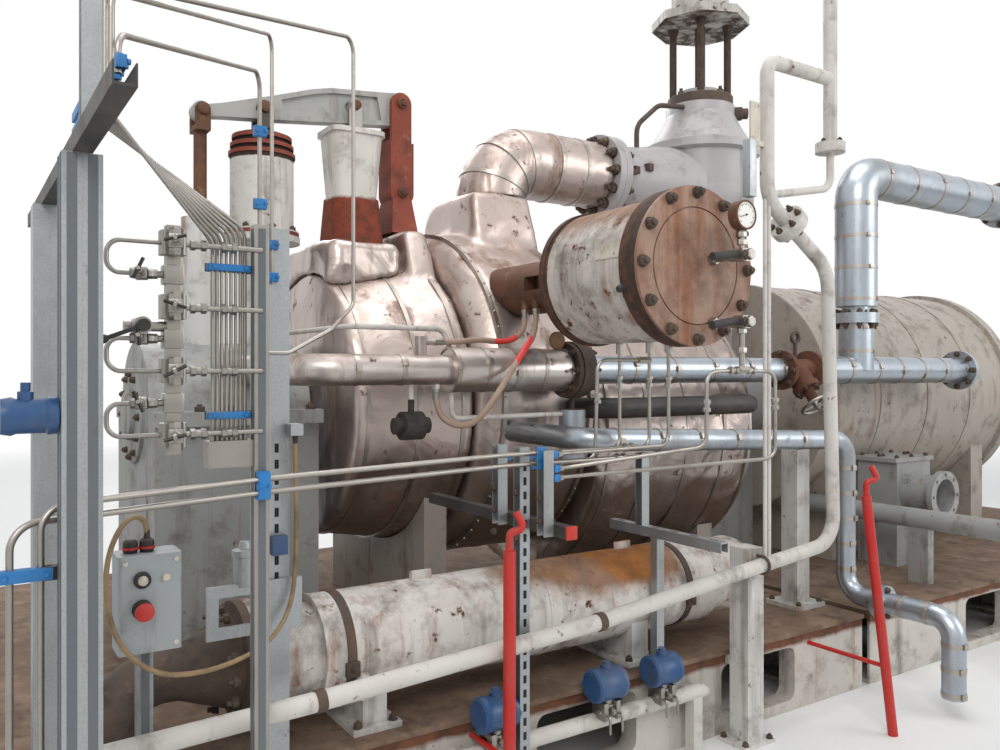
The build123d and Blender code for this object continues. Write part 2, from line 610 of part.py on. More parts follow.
# Stop valve body: a revolved casting with its belly, rib, bell and bonnet ring, and the neck that
# reaches to the inlet flanges
VALVE_START = INLET_FLANGE_X + 2 * FLANGE_THICK + 2
VALVE_X = 112.0
VALVE_RADIUS = 350.0
VALVE_RISE = 570.0
VALVE_DROP = 420.0
VALVE_TOP = INLET_HEIGHT + VALVE_RISE
VALVE_NECK = 380.0
RIB_LOW = 225.0
RIB_REACH = 42.0
RIB_THICK = 64.0
BELL_RADIUS = 228.0
BONNET_DIAMETER = 430.0
BONNET_HEIGHT = 110.0
with BuildPart() as stop_valve_body:
    with BuildSketch(Plane(origin=(VALVE_X, 0, INLET_HEIGHT), x_dir=(1, 0, 0), z_dir=(0, -1, 0))):
        with BuildLine():
            Line((0, -VALVE_DROP), (0.55 * VALVE_RADIUS, -VALVE_DROP))
            ThreePointArc((0.55 * VALVE_RADIUS, -VALVE_DROP), (0.89 * VALVE_RADIUS, -0.6 * VALVE_DROP),
                          (VALVE_RADIUS, 0))
            Polyline((VALVE_RADIUS, 0), (VALVE_RADIUS, RIB_LOW), (VALVE_RADIUS + RIB_REACH, RIB_LOW + 14),
                     (VALVE_RADIUS + RIB_REACH, RIB_LOW + RIB_THICK), (VALVE_RADIUS - 10, RIB_LOW + RIB_THICK + 26))
            ThreePointArc((VALVE_RADIUS - 10, RIB_LOW + RIB_THICK + 26), (BELL_RADIUS + 42, VALVE_RISE - 145),
                          (BELL_RADIUS, VALVE_RISE - 60))
            Polyline((BELL_RADIUS, VALVE_RISE - 60), (BELL_RADIUS, VALVE_RISE), (0, VALVE_RISE), (0, -VALVE_DROP))
        make_face()
    revolve(axis=Axis((VALVE_X, 0, 0), (0, 0, 1)))
    with BuildSketch(across_x(VALVE_START, 0, INLET_HEIGHT)):
        Circle(VALVE_NECK / 2)
    with BuildSketch(across_x(VALVE_X - 0.65 * VALVE_RADIUS, 0, INLET_HEIGHT)):
        Circle(VALVE_RADIUS * 0.8)
    loft()
    flange_at(level(VALVE_X, 0, VALVE_TOP), BONNET_DIAMETER, BONNET_HEIGHT * 0.6, 8, 26.0, BONNET_DIAMETER - 70)
    with BuildSketch(level(VALVE_X, 0, VALVE_TOP)):
        Circle(BONNET_DIAMETER * 0.33)
    extrude(amount=BONNET_HEIGHT)
finish(stop_valve_body, "stop_valve_body")

# Outlet branch under the stop valve, down to the exhaust drum's saddle
with BuildPart() as stop_valve_support:
    with BuildSketch(level(VALVE_X, 0, DECK_TOP)):
        Rectangle(300, 300)
    extrude(amount=INLET_HEIGHT - VALVE_DROP - DECK_TOP - SEAT)
    with BuildSketch(level(VALVE_X, 0, DECK_TOP)):
        Rectangle(800, 320)
    extrude(amount=SHAFT_HEIGHT + COUPLING_RADIUS - DECK_TOP + SEAT, mode=Mode.SUBTRACT)
finish(stop_valve_support, "stop_valve_support")

# Yoke: pillars and the eight-sided plate, with the actuator over it
YOKE_PLATE_Z = VALVE_TOP + 550.0
YOKE_PLATE_THICK = 55.0
YOKE_PLATE_WIDTH = 600.0
YOKE_RADIUS = 180.0
ACTUATOR_DIAMETER = 380.0
ACTUATOR_HEIGHT = 420.0
BONNET_TOP = VALVE_TOP + BONNET_HEIGHT * 0.6
with BuildPart() as valve_yoke:
    with BuildSketch(level(VALVE_X, 0, BONNET_TOP)):
        with PolarLocations(YOKE_RADIUS, 4, start_angle=45):
            Circle(24)
    extrude(amount=YOKE_PLATE_Z - BONNET_TOP)
    with BuildSketch(level(VALVE_X, 0, YOKE_PLATE_Z)):
        RegularPolygon(YOKE_PLATE_WIDTH / 2, 8, major_radius=False)
    extrude(amount=YOKE_PLATE_THICK)
    with BuildSketch(level(VALVE_X, 0, VALVE_TOP + BONNET_HEIGHT)):
        Circle(34)
    extrude(amount=YOKE_PLATE_Z - VALVE_TOP - BONNET_HEIGHT)
    base = YOKE_PLATE_Z + YOKE_PLATE_THICK
    flange_at(level(VALVE_X, 0, base), ACTUATOR_DIAMETER + 70, 30)
    with BuildSketch(level(VALVE_X, 0, base)):
        Circle(ACTUATOR_DIAMETER / 2)
    extrude(amount=ACTUATOR_HEIGHT)
    fillet(valve_yoke.faces().sort_by(Axis.Z)[-1].edges(), radius=30)
finish(valve_yoke, "valve_yoke")

# Trip cylinder: shell, bolted cover and lantern neck, pointing at the operating side
TRIP_X = -1888.0
TRIP_HEIGHT = 1985.0
TRIP_BACK = -1283.0
TRIP_FRONT = -1830.0
TRIP_SHELL = 545.0
TRIP_COVER = 590.0
TRIP_COVER_THICK = 55.0
TRIP_BOLTS = 12
with BuildPart() as trip_cylinder_shell:
    with BuildSketch(across_y(TRIP_X, TRIP_FRONT, TRIP_HEIGHT)):
        Circle(TRIP_SHELL / 2)
    extrude(amount=TRIP_BACK - TRIP_FRONT)
    flange_at(across_y(TRIP_X, TRIP_FRONT, TRIP_HEIGHT), TRIP_COVER, 40, TRIP_BOLTS, 22, TRIP_COVER - 50)
    flange_at(across_y(TRIP_X, TRIP_BACK - 30, TRIP_HEIGHT), TRIP_SHELL + 16, 30)
finish(trip_cylinder_shell, "trip_cylinder_shell")

with BuildPart() as trip_cylinder_cover:
    flange_at(across_y(TRIP_X, TRIP_FRONT - TRIP_COVER_THICK - SEAT, TRIP_HEIGHT), TRIP_COVER,
              TRIP_COVER_THICK, TRIP_BOLTS, 22, TRIP_COVER - 50)
    with BuildSketch(across_y(TRIP_X, TRIP_FRONT - TRIP_COVER_THICK - SEAT, TRIP_HEIGHT)):
        Circle(TRIP_COVER * 0.37)
        Circle(TRIP_COVER * 0.37 - 6, mode=Mode.SUBTRACT)
    extrude(amount=6, mode=Mode.SUBTRACT)
finish(trip_cylinder_cover, "trip_cylinder_cover")

# Lantern neck with its side window and the two ports of the braided hoses
TRIP_NECK = 240.0
NECK_WINDOW_Y = -1040.0
PORT = 30.0
PORT_X = TRIP_X - 0.36 * TRIP_NECK
PORT_Z = TRIP_HEIGHT - 105.0
PORT_Y = (-909.0, -995.0)
with BuildPart() as trip_cylinder_neck:
    with BuildSketch(across_y(TRIP_X, TRIP_BACK, TRIP_HEIGHT)):
        Circle(TRIP_NECK / 2)
    extrude(amount=-TRIP_BACK - 300)
    flange_at(across_y(TRIP_X, TRIP_BACK, TRIP_HEIGHT), TRIP_NECK + 90, 35)
    with BuildSketch(across_x(TRIP_X - TRIP_NECK, NECK_WINDOW_Y, TRIP_HEIGHT + 8)):
        Rectangle(190, 62)
    extrude(amount=TRIP_NECK - 50, mode=Mode.SUBTRACT)
    for y in PORT_Y:
        with BuildSketch(level(PORT_X, y, PORT_Z)):
            RegularPolygon(PORT / 2 + 3, 6)
        extrude(amount=45)
    with BuildSketch(across_x(CASING_START - 1)):
        with Locations((0, CASING_HEIGHT)):
            Circle(CASING_RADIUS + SEAT)
    extrude(amount=CASING_END - CASING_START + 2, mode=Mode.SUBTRACT)
finish(trip_cylinder_neck, "trip_cylinder_neck")

# Root valves with the gauge on the cover, the tee under them, and the impulse tubes that come down
# from the shell to the front trio of struts
GAUGE_DIAL = 100.0
ROOT_VALVE_X = TRIP_X + 80.0
ROOT_VALVE_Z = TRIP_HEIGHT + 30.0
LOWER_VALVE_Z = TRIP_HEIGHT - 209.0
COVER_FACE = TRIP_FRONT - TRIP_COVER_THICK - SEAT
ROOT_REACH = 142.0
TUBE = 14.0
TUBE_BEND = 45.0
TUBE_NUT = 30.0
LEAD_Z = 1330.0
LEAD_STEP = 32.0
LEAD_IN = 70.0
TEE_DROP = 172.0
LOOP_OUT = 180.0
LOOP_DROP = 266.0
ROOT_Y = COVER_FACE - ROOT_REACH
with BuildPart() as impulse_tubes:
    for z in (ROOT_VALVE_Z, LOWER_VALVE_Z):
        with BuildSketch(Plane(origin=(ROOT_VALVE_X, COVER_FACE, z), x_dir=(1, 0, 0), z_dir=(0, -1, 0))):
            Circle(14)
        extrude(amount=ROOT_REACH + 28)
        with BuildSketch(Plane(origin=(ROOT_VALVE_X, ROOT_Y + 22, z), x_dir=(1, 0, 0), z_dir=(0, -1, 0))):
            RectangleRounded(46, 46, 8)
        extrude(amount=44)
    with BuildSketch(level(ROOT_VALVE_X, ROOT_Y, LOWER_VALVE_Z)):
        Circle(10)
    extrude(amount=-TEE_DROP)
    tee_z = LOWER_VALVE_Z - TEE_DROP
    with BuildSketch(across_x(ROOT_VALVE_X - 24, ROOT_Y, tee_z)):
        RegularPolygon(TUBE_NUT / 2, 6)
    extrude(amount=48)
    for side in (-1, 1):
        loop_x = ROOT_VALVE_X + side * LOOP_OUT
        lead_z = LEAD_Z - (2.5 + side / 2) * LEAD_STEP
        pipe_along([(ROOT_VALVE_X, ROOT_Y, tee_z), (loop_x, ROOT_Y, tee_z - 8),
                    (loop_x, ROOT_Y, tee_z - LOOP_DROP - 30 - 30 * side), (TRIO_FACE + LEAD_IN, TRIO_FRONT - 8, lead_z),
                    (TRIO_FACE, TRIO_FRONT - 8, lead_z)], TUBE, TUBE_BEND)

    top = TRIP_HEIGHT - TRIP_SHELL / 2 - SEAT
    for index, y in enumerate((TRIP_FRONT + 90, TRIP_FRONT + 195, TRIP_FRONT + 370)):
        end_y = TRIO_FRONT + index * TRIO_PITCH
        z = LEAD_Z - 12 - index * LEAD_STEP / 2
        pipe_along([(TRIP_X, y, top), (TRIP_X, y, z), (TRIO_FACE + LEAD_IN, end_y, z - 4), (TRIO_FACE, end_y, z - 4)],
                   TUBE, TUBE_BEND)
        with BuildSketch(level(TRIP_X, y, top)):
            RegularPolygon(TUBE_NUT / 2, 6)
        extrude(amount=-42)
    branch_y = TRIP_FRONT + 195
    branch_end = (TRIO_FACE, TRIO_FRONT + TRIO_PITCH - 8, LEAD_Z - 66)
    pipe_along([(TRIP_X, branch_y, top - 70), (TRIP_X - 262, branch_y, top - 70), (TRIP_X - 274, branch_y, LEAD_Z - 60),
                (TRIO_FACE + LEAD_IN, branch_end[1], branch_end[2]), branch_end], TUBE, TUBE_BEND)
    with BuildSketch(across_x(TRIP_X - 60, branch_y, top - 70)):
        RegularPolygon(TUBE_NUT / 2, 6)
    extrude(amount=60)

    with BuildSketch(level(ROOT_VALVE_X, ROOT_Y, ROOT_VALVE_Z + 22)):
        Circle(9)
    extrude(amount=80)
    with BuildSketch(Plane(origin=(ROOT_VALVE_X, ROOT_Y + 18, ROOT_VALVE_Z + 22 + 70 + GAUGE_DIAL / 2),
                           x_dir=(1, 0, 0), z_dir=(0, -1, 0))):
        Circle(GAUGE_DIAL / 2)
    extrude(amount=36)
finish(impulse_tubes, "impulse_tubes")

# Clad front pipe, from the pedestal to the joint
FRONT_PIPE_Y = -1000.0
FRONT_PIPE_Z = SHAFT_HEIGHT + 205.0
FRONT_PIPE_START = -3060.0
THICK_START = -2430.0
JOINT_X = -1774.0
JOINT_HALF = 50.0
UPPER_PORT_X = -2560.0
LOWER_PORT_X = -2490.0
PORT_REACH = 80.0
PORT_RISE = 117.0
DRAIN_VALVE_X = -2605.0
with BuildPart() as clad_pipe_left:
    pipe_along([(FRONT_PIPE_START, -150, FRONT_PIPE_Z), (FRONT_PIPE_START, FRONT_PIPE_Y, FRONT_PIPE_Z),
                (JOINT_X - JOINT_HALF, FRONT_PIPE_Y, FRONT_PIPE_Z)], 125.0, 190.0)
    with BuildSketch(across_x(THICK_START, FRONT_PIPE_Y, FRONT_PIPE_Z)):
        Circle(95)
    extrude(amount=JOINT_X - JOINT_HALF - THICK_START)
    with BuildSketch(level(UPPER_PORT_X, FRONT_PIPE_Y, FRONT_PIPE_Z)):
        RectangleRounded(PORT + 10, PORT + 10, 8)
    extrude(amount=PORT_RISE + PORT / 2 + 6)
    with BuildSketch(across_x(UPPER_PORT_X, FRONT_PIPE_Y, FRONT_PIPE_Z + PORT_RISE)):
        RegularPolygon(PORT / 2 + 3, 6)
    extrude(amount=60)
    with BuildSketch(level(LOWER_PORT_X, FRONT_PIPE_Y, FRONT_PIPE_Z)):
        RegularPolygon(PORT / 2 + 3, 6)
    extrude(amount=-PORT_REACH)
    with BuildSketch(level(DRAIN_VALVE_X, FRONT_PIPE_Y, FRONT_PIPE_Z)):
        Circle(13)
    extrude(amount=-190)
    with BuildSketch(across_x(DRAIN_VALVE_X - 45, FRONT_PIPE_Y, FRONT_PIPE_Z - 228)):
        Circle(58)
    extrude(amount=90)
    with BuildSketch(across_x(DRAIN_VALVE_X - 78, FRONT_PIPE_Y, FRONT_PIPE_Z - 228)):
        Circle(34)
    extrude(amount=156)
    with BuildSketch(across_x(PEDESTAL_START - 1, 0, SHAFT_HEIGHT)):
        Circle(PEDESTAL_CAP_RADIUS + SEAT)
    extrude(amount=PEDESTAL_LENGTH + 2, mode=Mode.SUBTRACT)
finish(clad_pipe_left, "clad_pipe_left")

# Flanged joint of the front pipe, with the condensate pot that hangs under it
with BuildPart() as pipe_joint:
    flange_at(across_x(JOINT_X - JOINT_HALF, FRONT_PIPE_Y, FRONT_PIPE_Z), 250, 2 * JOINT_HALF)
    with BuildSketch(level(JOINT_X, FRONT_PIPE_Y, FRONT_PIPE_Z - 60)):
        Circle(11)
    extrude(amount=-130)
    with BuildSketch(level(JOINT_X, FRONT_PIPE_Y, FRONT_PIPE_Z - 180)):
        Circle(59)
    extrude(amount=-245)
    fillet(pipe_joint.edges().filter_by(GeomType.CIRCLE).group_by(Axis.Z)[0], radius=14)
finish(pipe_joint, "pipe_joint")

# Middle run and gate valve
GATE_X = -183.0
GATE_HALF = 130.0
GATE_FLANGE = 220.0
with BuildPart() as clad_pipe_middle:
    with BuildSketch(across_x(JOINT_X + JOINT_HALF, FRONT_PIPE_Y, FRONT_PIPE_Z)):
        Circle(66)
    extrude(amount=GATE_X - GATE_HALF - JOINT_X - JOINT_HALF)
finish(clad_pipe_middle, "clad_pipe_middle")

STEM_AXIS = (0, -0.6, -0.8)
with BuildPart() as gate_valve:
    for side in (-1, 1):
        flange_at(Plane(origin=(GATE_X + side * GATE_HALF, FRONT_PIPE_Y, FRONT_PIPE_Z), x_dir=(0, 1, 0),
                        z_dir=(-side, 0, 0)), GATE_FLANGE, 24)
    with BuildSketch(across_x(GATE_X - GATE_HALF, FRONT_PIPE_Y, FRONT_PIPE_Z)):
        Circle(62)
    extrude(amount=2 * GATE_HALF)
    stem = Plane(origin=(GATE_X, FRONT_PIPE_Y, FRONT_PIPE_Z), x_dir=(1, 0, 0), z_dir=STEM_AXIS)
    flange_at(stem, 130, 110)
    flange_at(stem.offset(110), 150, 30)
    flange_at(stem.offset(140), 60, 70)
finish(gate_valve, "gate_valve")

WHEEL_DIAMETER = 190.0
with BuildPart() as gate_handwheel:
    wheel = Plane(origin=(GATE_X, FRONT_PIPE_Y, FRONT_PIPE_Z), x_dir=(1, 0, 0), z_dir=STEM_AXIS).offset(210 + SEAT)
    flange_at(wheel, 44, 60)
    with BuildSketch(wheel.offset(20)):
        Circle(WHEEL_DIAMETER / 2)
        Circle(WHEEL_DIAMETER / 2 - 16, mode=Mode.SUBTRACT)
        with PolarLocations(0, 2):
            Rectangle(WHEEL_DIAMETER - 16, 14)
        Rectangle(14, WHEEL_DIAMETER - 16)
    extrude(amount=16)
finish(gate_handwheel, "gate_handwheel")

# Right-hand run with its tee
TEE_X = 383.0
RIGHT_RUN_END = 1500.0
TEE_TOP = FRONT_PIPE_Z + 280.0
RISER_FLANGE_THICK = 30.0
RIGHT_BORE = 70.0
RISER_BORE = 95.0
BORE_DEPTH = 150.0
with BuildPart() as clad_pipe_right:
    with BuildSketch(across_x(GATE_X + GATE_HALF, FRONT_PIPE_Y, FRONT_PIPE_Z)):
        Circle(82)
    extrude(amount=RIGHT_RUN_END - GATE_X - GATE_HALF)
    with BuildSketch(level(TEE_X, FRONT_PIPE_Y, FRONT_PIPE_Z)):
        Circle(98)
    extrude(amount=TEE_TOP - FRONT_PIPE_Z)
    flange_at(level(TEE_X, FRONT_PIPE_Y, TEE_TOP), 260, RISER_FLANGE_THICK, 8, 22, 215)
    flange_at(across_x(RIGHT_RUN_END, FRONT_PIPE_Y, FRONT_PIPE_Z), 260, RISER_FLANGE_THICK, 8, 22, 215)
    with BuildSketch(across_x(RIGHT_RUN_END + RISER_FLANGE_THICK, FRONT_PIPE_Y, FRONT_PIPE_Z)):
        Circle(RIGHT_BORE)
    extrude(amount=-BORE_DEPTH, mode=Mode.SUBTRACT)
finish(clad_pipe_right, "clad_pipe_right")

# Riser with its elbow and the start of the run that leads away
RISER_Z = 2775.0
RISER_END = 2060.0
with BuildPart() as clad_riser:
    flange_at(level(TEE_X, FRONT_PIPE_Y, TEE_TOP + RISER_FLANGE_THICK + SEAT), 260, RISER_FLANGE_THICK, 8, 22, 215)
    with BuildSketch(level(TEE_X, FRONT_PIPE_Y, TEE_TOP + 2 * RISER_FLANGE_THICK)):
        Circle(80)
    extrude(amount=60)
    pipe_along([(TEE_X, FRONT_PIPE_Y, TEE_TOP + 100), (TEE_X, FRONT_PIPE_Y, RISER_Z),
                (RISER_END, FRONT_PIPE_Y, RISER_Z)], 240.0, 160.0)
    flange_at(across_x(RISER_END, FRONT_PIPE_Y, RISER_Z), 320, 36, 8, 22, 280)
    with BuildSketch(across_x(RISER_END + 36, FRONT_PIPE_Y, RISER_Z)):
        Circle(RISER_BORE)
    extrude(amount=-BORE_DEPTH, mode=Mode.SUBTRACT)
finish(clad_riser, "clad_riser")

# Dark pipe under the front pipe
DARK_PIPE_Y = -1050.0
DARK_PIPE_Z = 1425.0
with BuildPart() as dark_pipe:
    pipe_along([(-1640, -700, DARK_PIPE_Z), (-1640, DARK_PIPE_Y, DARK_PIPE_Z), (-560, DARK_PIPE_Y, DARK_PIPE_Z),
                (-560, -700, DARK_PIPE_Z)], 98.0, 110.0)
    with BuildSketch(across_x(CASING_START, 0, CASING_HEIGHT)):
        Circle(CASING_RADIUS + SEAT)
    extrude(amount=CASING_END - CASING_START, mode=Mode.SUBTRACT)
    with BuildSketch(across_x(CASING_END, 0, EXHAUST_HEIGHT)):
        Circle(EXHAUST_RADIUS + SEAT)
    extrude(amount=EXHAUST_END - CASING_END, mode=Mode.SUBTRACT)
finish(dark_pipe, "dark_pipe")

# Drain pipe along the front, down at the end of the skid, with its flanged spout
DRAIN_Y = -1385.0
DRAIN_START = -1990.0
DRAIN_X = -273.0
DRAIN_Z = 445.0
DRAIN_DIAMETER = 96.0
DRAIN_RUN_END = -1570.0
DRAIN_OUT_Y = -1950.0
with BuildPart() as drain_pipe:
    pipe_along([(DRAIN_START, -700, 1322), (DRAIN_START, DRAIN_Y, 1318), (DRAIN_X, DRAIN_Y, 1243),
                (DRAIN_X, DRAIN_Y, DRAIN_Z), (DRAIN_X, DRAIN_RUN_END, DRAIN_Z)], DRAIN_DIAMETER, 110.0)
    with BuildSketch(across_x(CASING_START, 0, CASING_HEIGHT)):
        Circle(CASING_RADIUS + SEAT)
    extrude(amount=CASING_END - CASING_START, mode=Mode.SUBTRACT)
    flange_at(Plane(origin=(DRAIN_X, DRAIN_RUN_END, DRAIN_Z), x_dir=(1, 0, 0), z_dir=(0, -1, 0)), 170, 22, 4, 18, 130)
    start = DRAIN_RUN_END - 22 - SEAT
    flange_at(Plane(origin=(DRAIN_X, start, DRAIN_Z), x_dir=(1, 0, 0), z_dir=(0, -1, 0)), 170, 22, 4, 18, 130)
    pipe_along([(DRAIN_X, start - 10, DRAIN_Z), (DRAIN_X, DRAIN_OUT_Y, DRAIN_Z), (DRAIN_X, DRAIN_OUT_Y, 80)],
               106.0, 95.0)
finish(drain_pipe, "drain_pipe")

# White steam line along the front, with its riser
LINE_Y = -1690.0
LINE_DIAMETER = 60.3
VENT_X = -830.0
VENT_BOTTOM = 2600.0
VENT_TOP = 3420.0
VENT_LEG = 33.7
LINE_MID_X = -1401.0
LINE_MID_Z = 765.0
LINE_LOW_X = -805.0
LINE_LOW_Z = 822.0
LINE_TURN_X = -850.0
LINE_TURN_Z = 2060.0
RISE_X = -1262.0
RISE_Z = 2330.0
RISE_TOP = 2925.0
TRACER = 17.2
JOINT_SHARE = 0.66
with BuildPart() as steam_line:
    route = [(-4250, LINE_Y, 585), (-3263, LINE_Y, 618), (-2184, LINE_Y, 679), (LINE_MID_X, LINE_Y, LINE_MID_Z),
             (LINE_LOW_X, LINE_Y, LINE_LOW_Z), (LINE_TURN_X, LINE_Y, LINE_TURN_Z), (RISE_X, LINE_Y, RISE_Z),
             (RISE_X, LINE_Y, RISE_TOP), (RISE_X + 416, LINE_Y, RISE_TOP)]
    with BuildLine() as line:
        FilletPolyline(*route, radius=[1500, 1500, 1500, 130, 160, 160, 60])
    with BuildSketch(Plane(origin=line.line @ 0, z_dir=line.line % 0)):
        Circle(LINE_DIAMETER / 2)
    sweep(path=line.line)
    with BuildSketch(level(VENT_X, LINE_Y, VENT_BOTTOM)):
        Circle(LINE_DIAMETER / 2)
    extrude(amount=VENT_TOP - VENT_BOTTOM)
    flange_at(level(VENT_X, LINE_Y, VENT_TOP), 120, 20)
    flange_at(level(VENT_X, LINE_Y, VENT_BOTTOM - 10), 130, 44)
    pipe_along([(RISE_X, LINE_Y, RISE_Z + 20), (VENT_X, LINE_Y, RISE_Z + 100), (VENT_X, LINE_Y, VENT_BOTTOM)],
               VENT_LEG, 70.0)
    slope = Vector(RISE_X - LINE_TURN_X, 0, RISE_Z - LINE_TURN_Z)
    joint = Vector(LINE_TURN_X, LINE_Y, LINE_TURN_Z) + slope * JOINT_SHARE
    flange_at(Plane(origin=joint, x_dir=(0, 1, 0), z_dir=slope.normalized()), 165, 26)
    flange_at(Plane(origin=joint, x_dir=(0, 1, 0), z_dir=-slope.normalized()), 165, 20)
    line_slope = (LINE_LOW_Z - LINE_MID_Z) / (LINE_LOW_X - LINE_MID_X)
    for x in (RISE_X - 13, RISE_X + 13):
        foot = LINE_MID_Z + (x - LINE_MID_X) * line_slope
        with BuildSketch(level(x, LINE_Y, foot)):
            Circle(TRACER / 2)
        extrude(amount=RISE_Z - foot)
finish(steam_line, "steam_line")

# Posts under the line and the drain pipe
POST = 100.0
FRONT_POST_X = -1290.0
FRONT_POST_TOP = 840.0
REAR_POST_X = -440.0
REAR_POST_Y = -1200.0
REAR_POST_TOP = 1190.0
with BuildPart() as pipe_posts:
    front_y = LINE_Y + LINE_DIAMETER / 2 + POST / 2 + 6
    with BuildSketch(level(FRONT_POST_X, front_y, 0)):
        Rectangle(POST, POST)
    extrude(amount=FRONT_POST_TOP)
    with BuildSketch(level(FRONT_POST_X, front_y, 0)):
        Rectangle(POST + 90, POST + 50)
    extrude(amount=14)
    with BuildSketch(level(REAR_POST_X, REAR_POST_Y, DECK_TOP)):
        Rectangle(POST, POST)
    extrude(amount=REAR_POST_TOP - DECK_TOP)
    with BuildSketch(level(REAR_POST_X, REAR_POST_Y, DECK_TOP)):
        Rectangle(POST + 110, POST + 110)
    extrude(amount=22)
    clamp_z = LINE_MID_Z + (FRONT_POST_X - LINE_MID_X) * (LINE_LOW_Z - LINE_MID_Z) / (LINE_LOW_X - LINE_MID_X)
    with BuildSketch(Plane(origin=(FRONT_POST_X, LINE_Y + LINE_DIAMETER / 2 + SEAT, clamp_z), x_dir=(1, 0, 0),
                           z_dir=(0, -1, 0))):
        Rectangle(90, 130)
    extrude(amount=-20)
    stay_to_skid(FRONT_POST_X, front_y + POST / 2 - 1)
finish(pipe_posts, "pipe_posts")

# Red standpipes with their bent heads and stays
STANDPIPE = 42.4
with BuildPart() as standpipes:
    for base, top in (((-2621, -1745, 0), (-2621, -1745, 1000)), ((-709, -1920, 0), (-795, -1847, 1050))):
        pipe_along([base, top], STANDPIPE, 0)
        pipe_along([top, (top[0], top[1], top[2] + 60), (top[0] + 40, top[1] - 30, top[2] + 75),
                    (top[0] + 20, top[1] - 10, top[2] + 130)], 26.0, 18.0)
        share = 300 / (top[2] - base[2])
        x = base[0] + share * (top[0] - base[0])
        y = base[1] + share * (top[1] - base[1])
        pipe_along([(x, y, 300), (x, -SKID_HALF_WIDTH - SEAT, 300)], 20.0, 0)
finish(standpipes, "standpipes")

# Seal oil vessel: shell, heads, flange pair and its outlet elbow
VESSEL_Y = -1260.0
VESSEL_Z = 635.0
VESSEL_RADIUS = 185.0
VESSEL_START = -3140.0
VESSEL_END = -1290.0
HEAD_RADIUS = 168.0
HEAD_END = -940.0
HEAD_KNUCKLE = 110.0
VESSEL_FLANGE_X = -3370.0
with BuildPart() as vessel_shell:
    with BuildSketch(across_x(VESSEL_START, VESSEL_Y, VESSEL_Z)):
        Circle(VESSEL_RADIUS)
    extrude(amount=VESSEL_END - VESSEL_START)
    with BuildSketch(across_x(VESSEL_START, VESSEL_Y, VESSEL_Z)):
        Circle(HEAD_RADIUS - 10)
    extrude(amount=VESSEL_FLANGE_X + 30 - VESSEL_START)
    flange_at(across_x(VESSEL_FLANGE_X, VESSEL_Y, VESSEL_Z), 2 * VESSEL_RADIUS + 30, 30)
    with BuildSketch(across_x(VESSEL_END - 10, VESSEL_Y, VESSEL_Z)):
        Circle(HEAD_RADIUS)
    extrude(amount=HEAD_END - VESSEL_END + 10)
    fillet(vessel_shell.faces().sort_by(Axis.X)[-1].edges(), radius=HEAD_KNUCKLE)
finish(vessel_shell, "vessel_shell")

INLET_DROP_X = -3780.0
INLET_PIPE = 168.3
INLET_REDUCER = 210.0
with BuildPart() as vessel_inlet:
    flange_at(across_x(VESSEL_FLANGE_X - 30 - SEAT, VESSEL_Y, VESSEL_Z), 2 * VESSEL_RADIUS + 30, 30)
    with BuildSketch(across_x(VESSEL_FLANGE_X - 30 - SEAT, VESSEL_Y, VESSEL_Z)):
        Circle(150)
    with BuildSketch(across_x(VESSEL_FLANGE_X - INLET_REDUCER, VESSEL_Y, VESSEL_Z)):
        Circle(INLET_PIPE / 2)
    loft()
    pipe_along([(VESSEL_FLANGE_X - INLET_REDUCER + 5, VESSEL_Y, VESSEL_Z), (INLET_DROP_X, VESSEL_Y, VESSEL_Z),
                (INLET_DROP_X, VESSEL_Y, DECK_TOP + SEAT)], INLET_PIPE, 160.0)
finish(vessel_inlet, "vessel_inlet")

SADDLE_THICK = 90.0
with BuildPart() as vessel_saddles:
    for x in (-2960, -1740):
        with BuildSketch(level(x, VESSEL_Y, DECK_TOP)):
            Rectangle(SADDLE_THICK + 90, 380)
        extrude(amount=20)
        with BuildSketch(level(x, VESSEL_Y, DECK_TOP)):
            Rectangle(SADDLE_THICK, 320)
        extrude(amount=VESSEL_Z - 60 - DECK_TOP)
    with BuildSketch(across_x(VESSEL_START, VESSEL_Y, VESSEL_Z)):
        Circle(VESSEL_RADIUS + SEAT)
    extrude(amount=VESSEL_END - VESSEL_START, mode=Mode.SUBTRACT)
finish(vessel_saddles, "vessel_saddles")

# Grey flanged box beside the compressor, with its large nozzle
BOX_X = 806.0
BOX_WIDTH = 370.0
BOX_FRONT = -1000.0
BOX_BACK = -728.0
BOX_TOP = 1050.0
NOZZLE_X = 950.0
NOZZLE_Z = 830.0
NOZZLE_FACE = -1230.0
NOZZLE_BORE = 105.0
with BuildPart() as oil_box:
    with BuildSketch(level(BOX_X + BOX_WIDTH / 2, (BOX_FRONT + BOX_BACK) / 2, DECK_TOP)):
        Rectangle(BOX_WIDTH, BOX_BACK - BOX_FRONT)
    extrude(amount=BOX_TOP - DECK_TOP)
    with BuildSketch(level(BOX_X + BOX_WIDTH / 2, (BOX_FRONT + BOX_BACK) / 2, BOX_TOP - 26)):
        Rectangle(BOX_WIDTH + 50, BOX_BACK - BOX_FRONT + 20)
    extrude(amount=26)
    front = Plane(origin=(NOZZLE_X, NOZZLE_FACE, NOZZLE_Z), x_dir=(1, 0, 0), z_dir=(0, 1, 0))
    flange_at(front, 310, 34, 8, 22, 262)
    with BuildSketch(front):
        Circle(120)
    extrude(amount=BOX_FRONT - NOZZLE_FACE + 20)
    with BuildSketch(front):
        Circle(NOZZLE_BORE)
    extrude(amount=150, mode=Mode.SUBTRACT)
finish(oil_box, "oil_box")

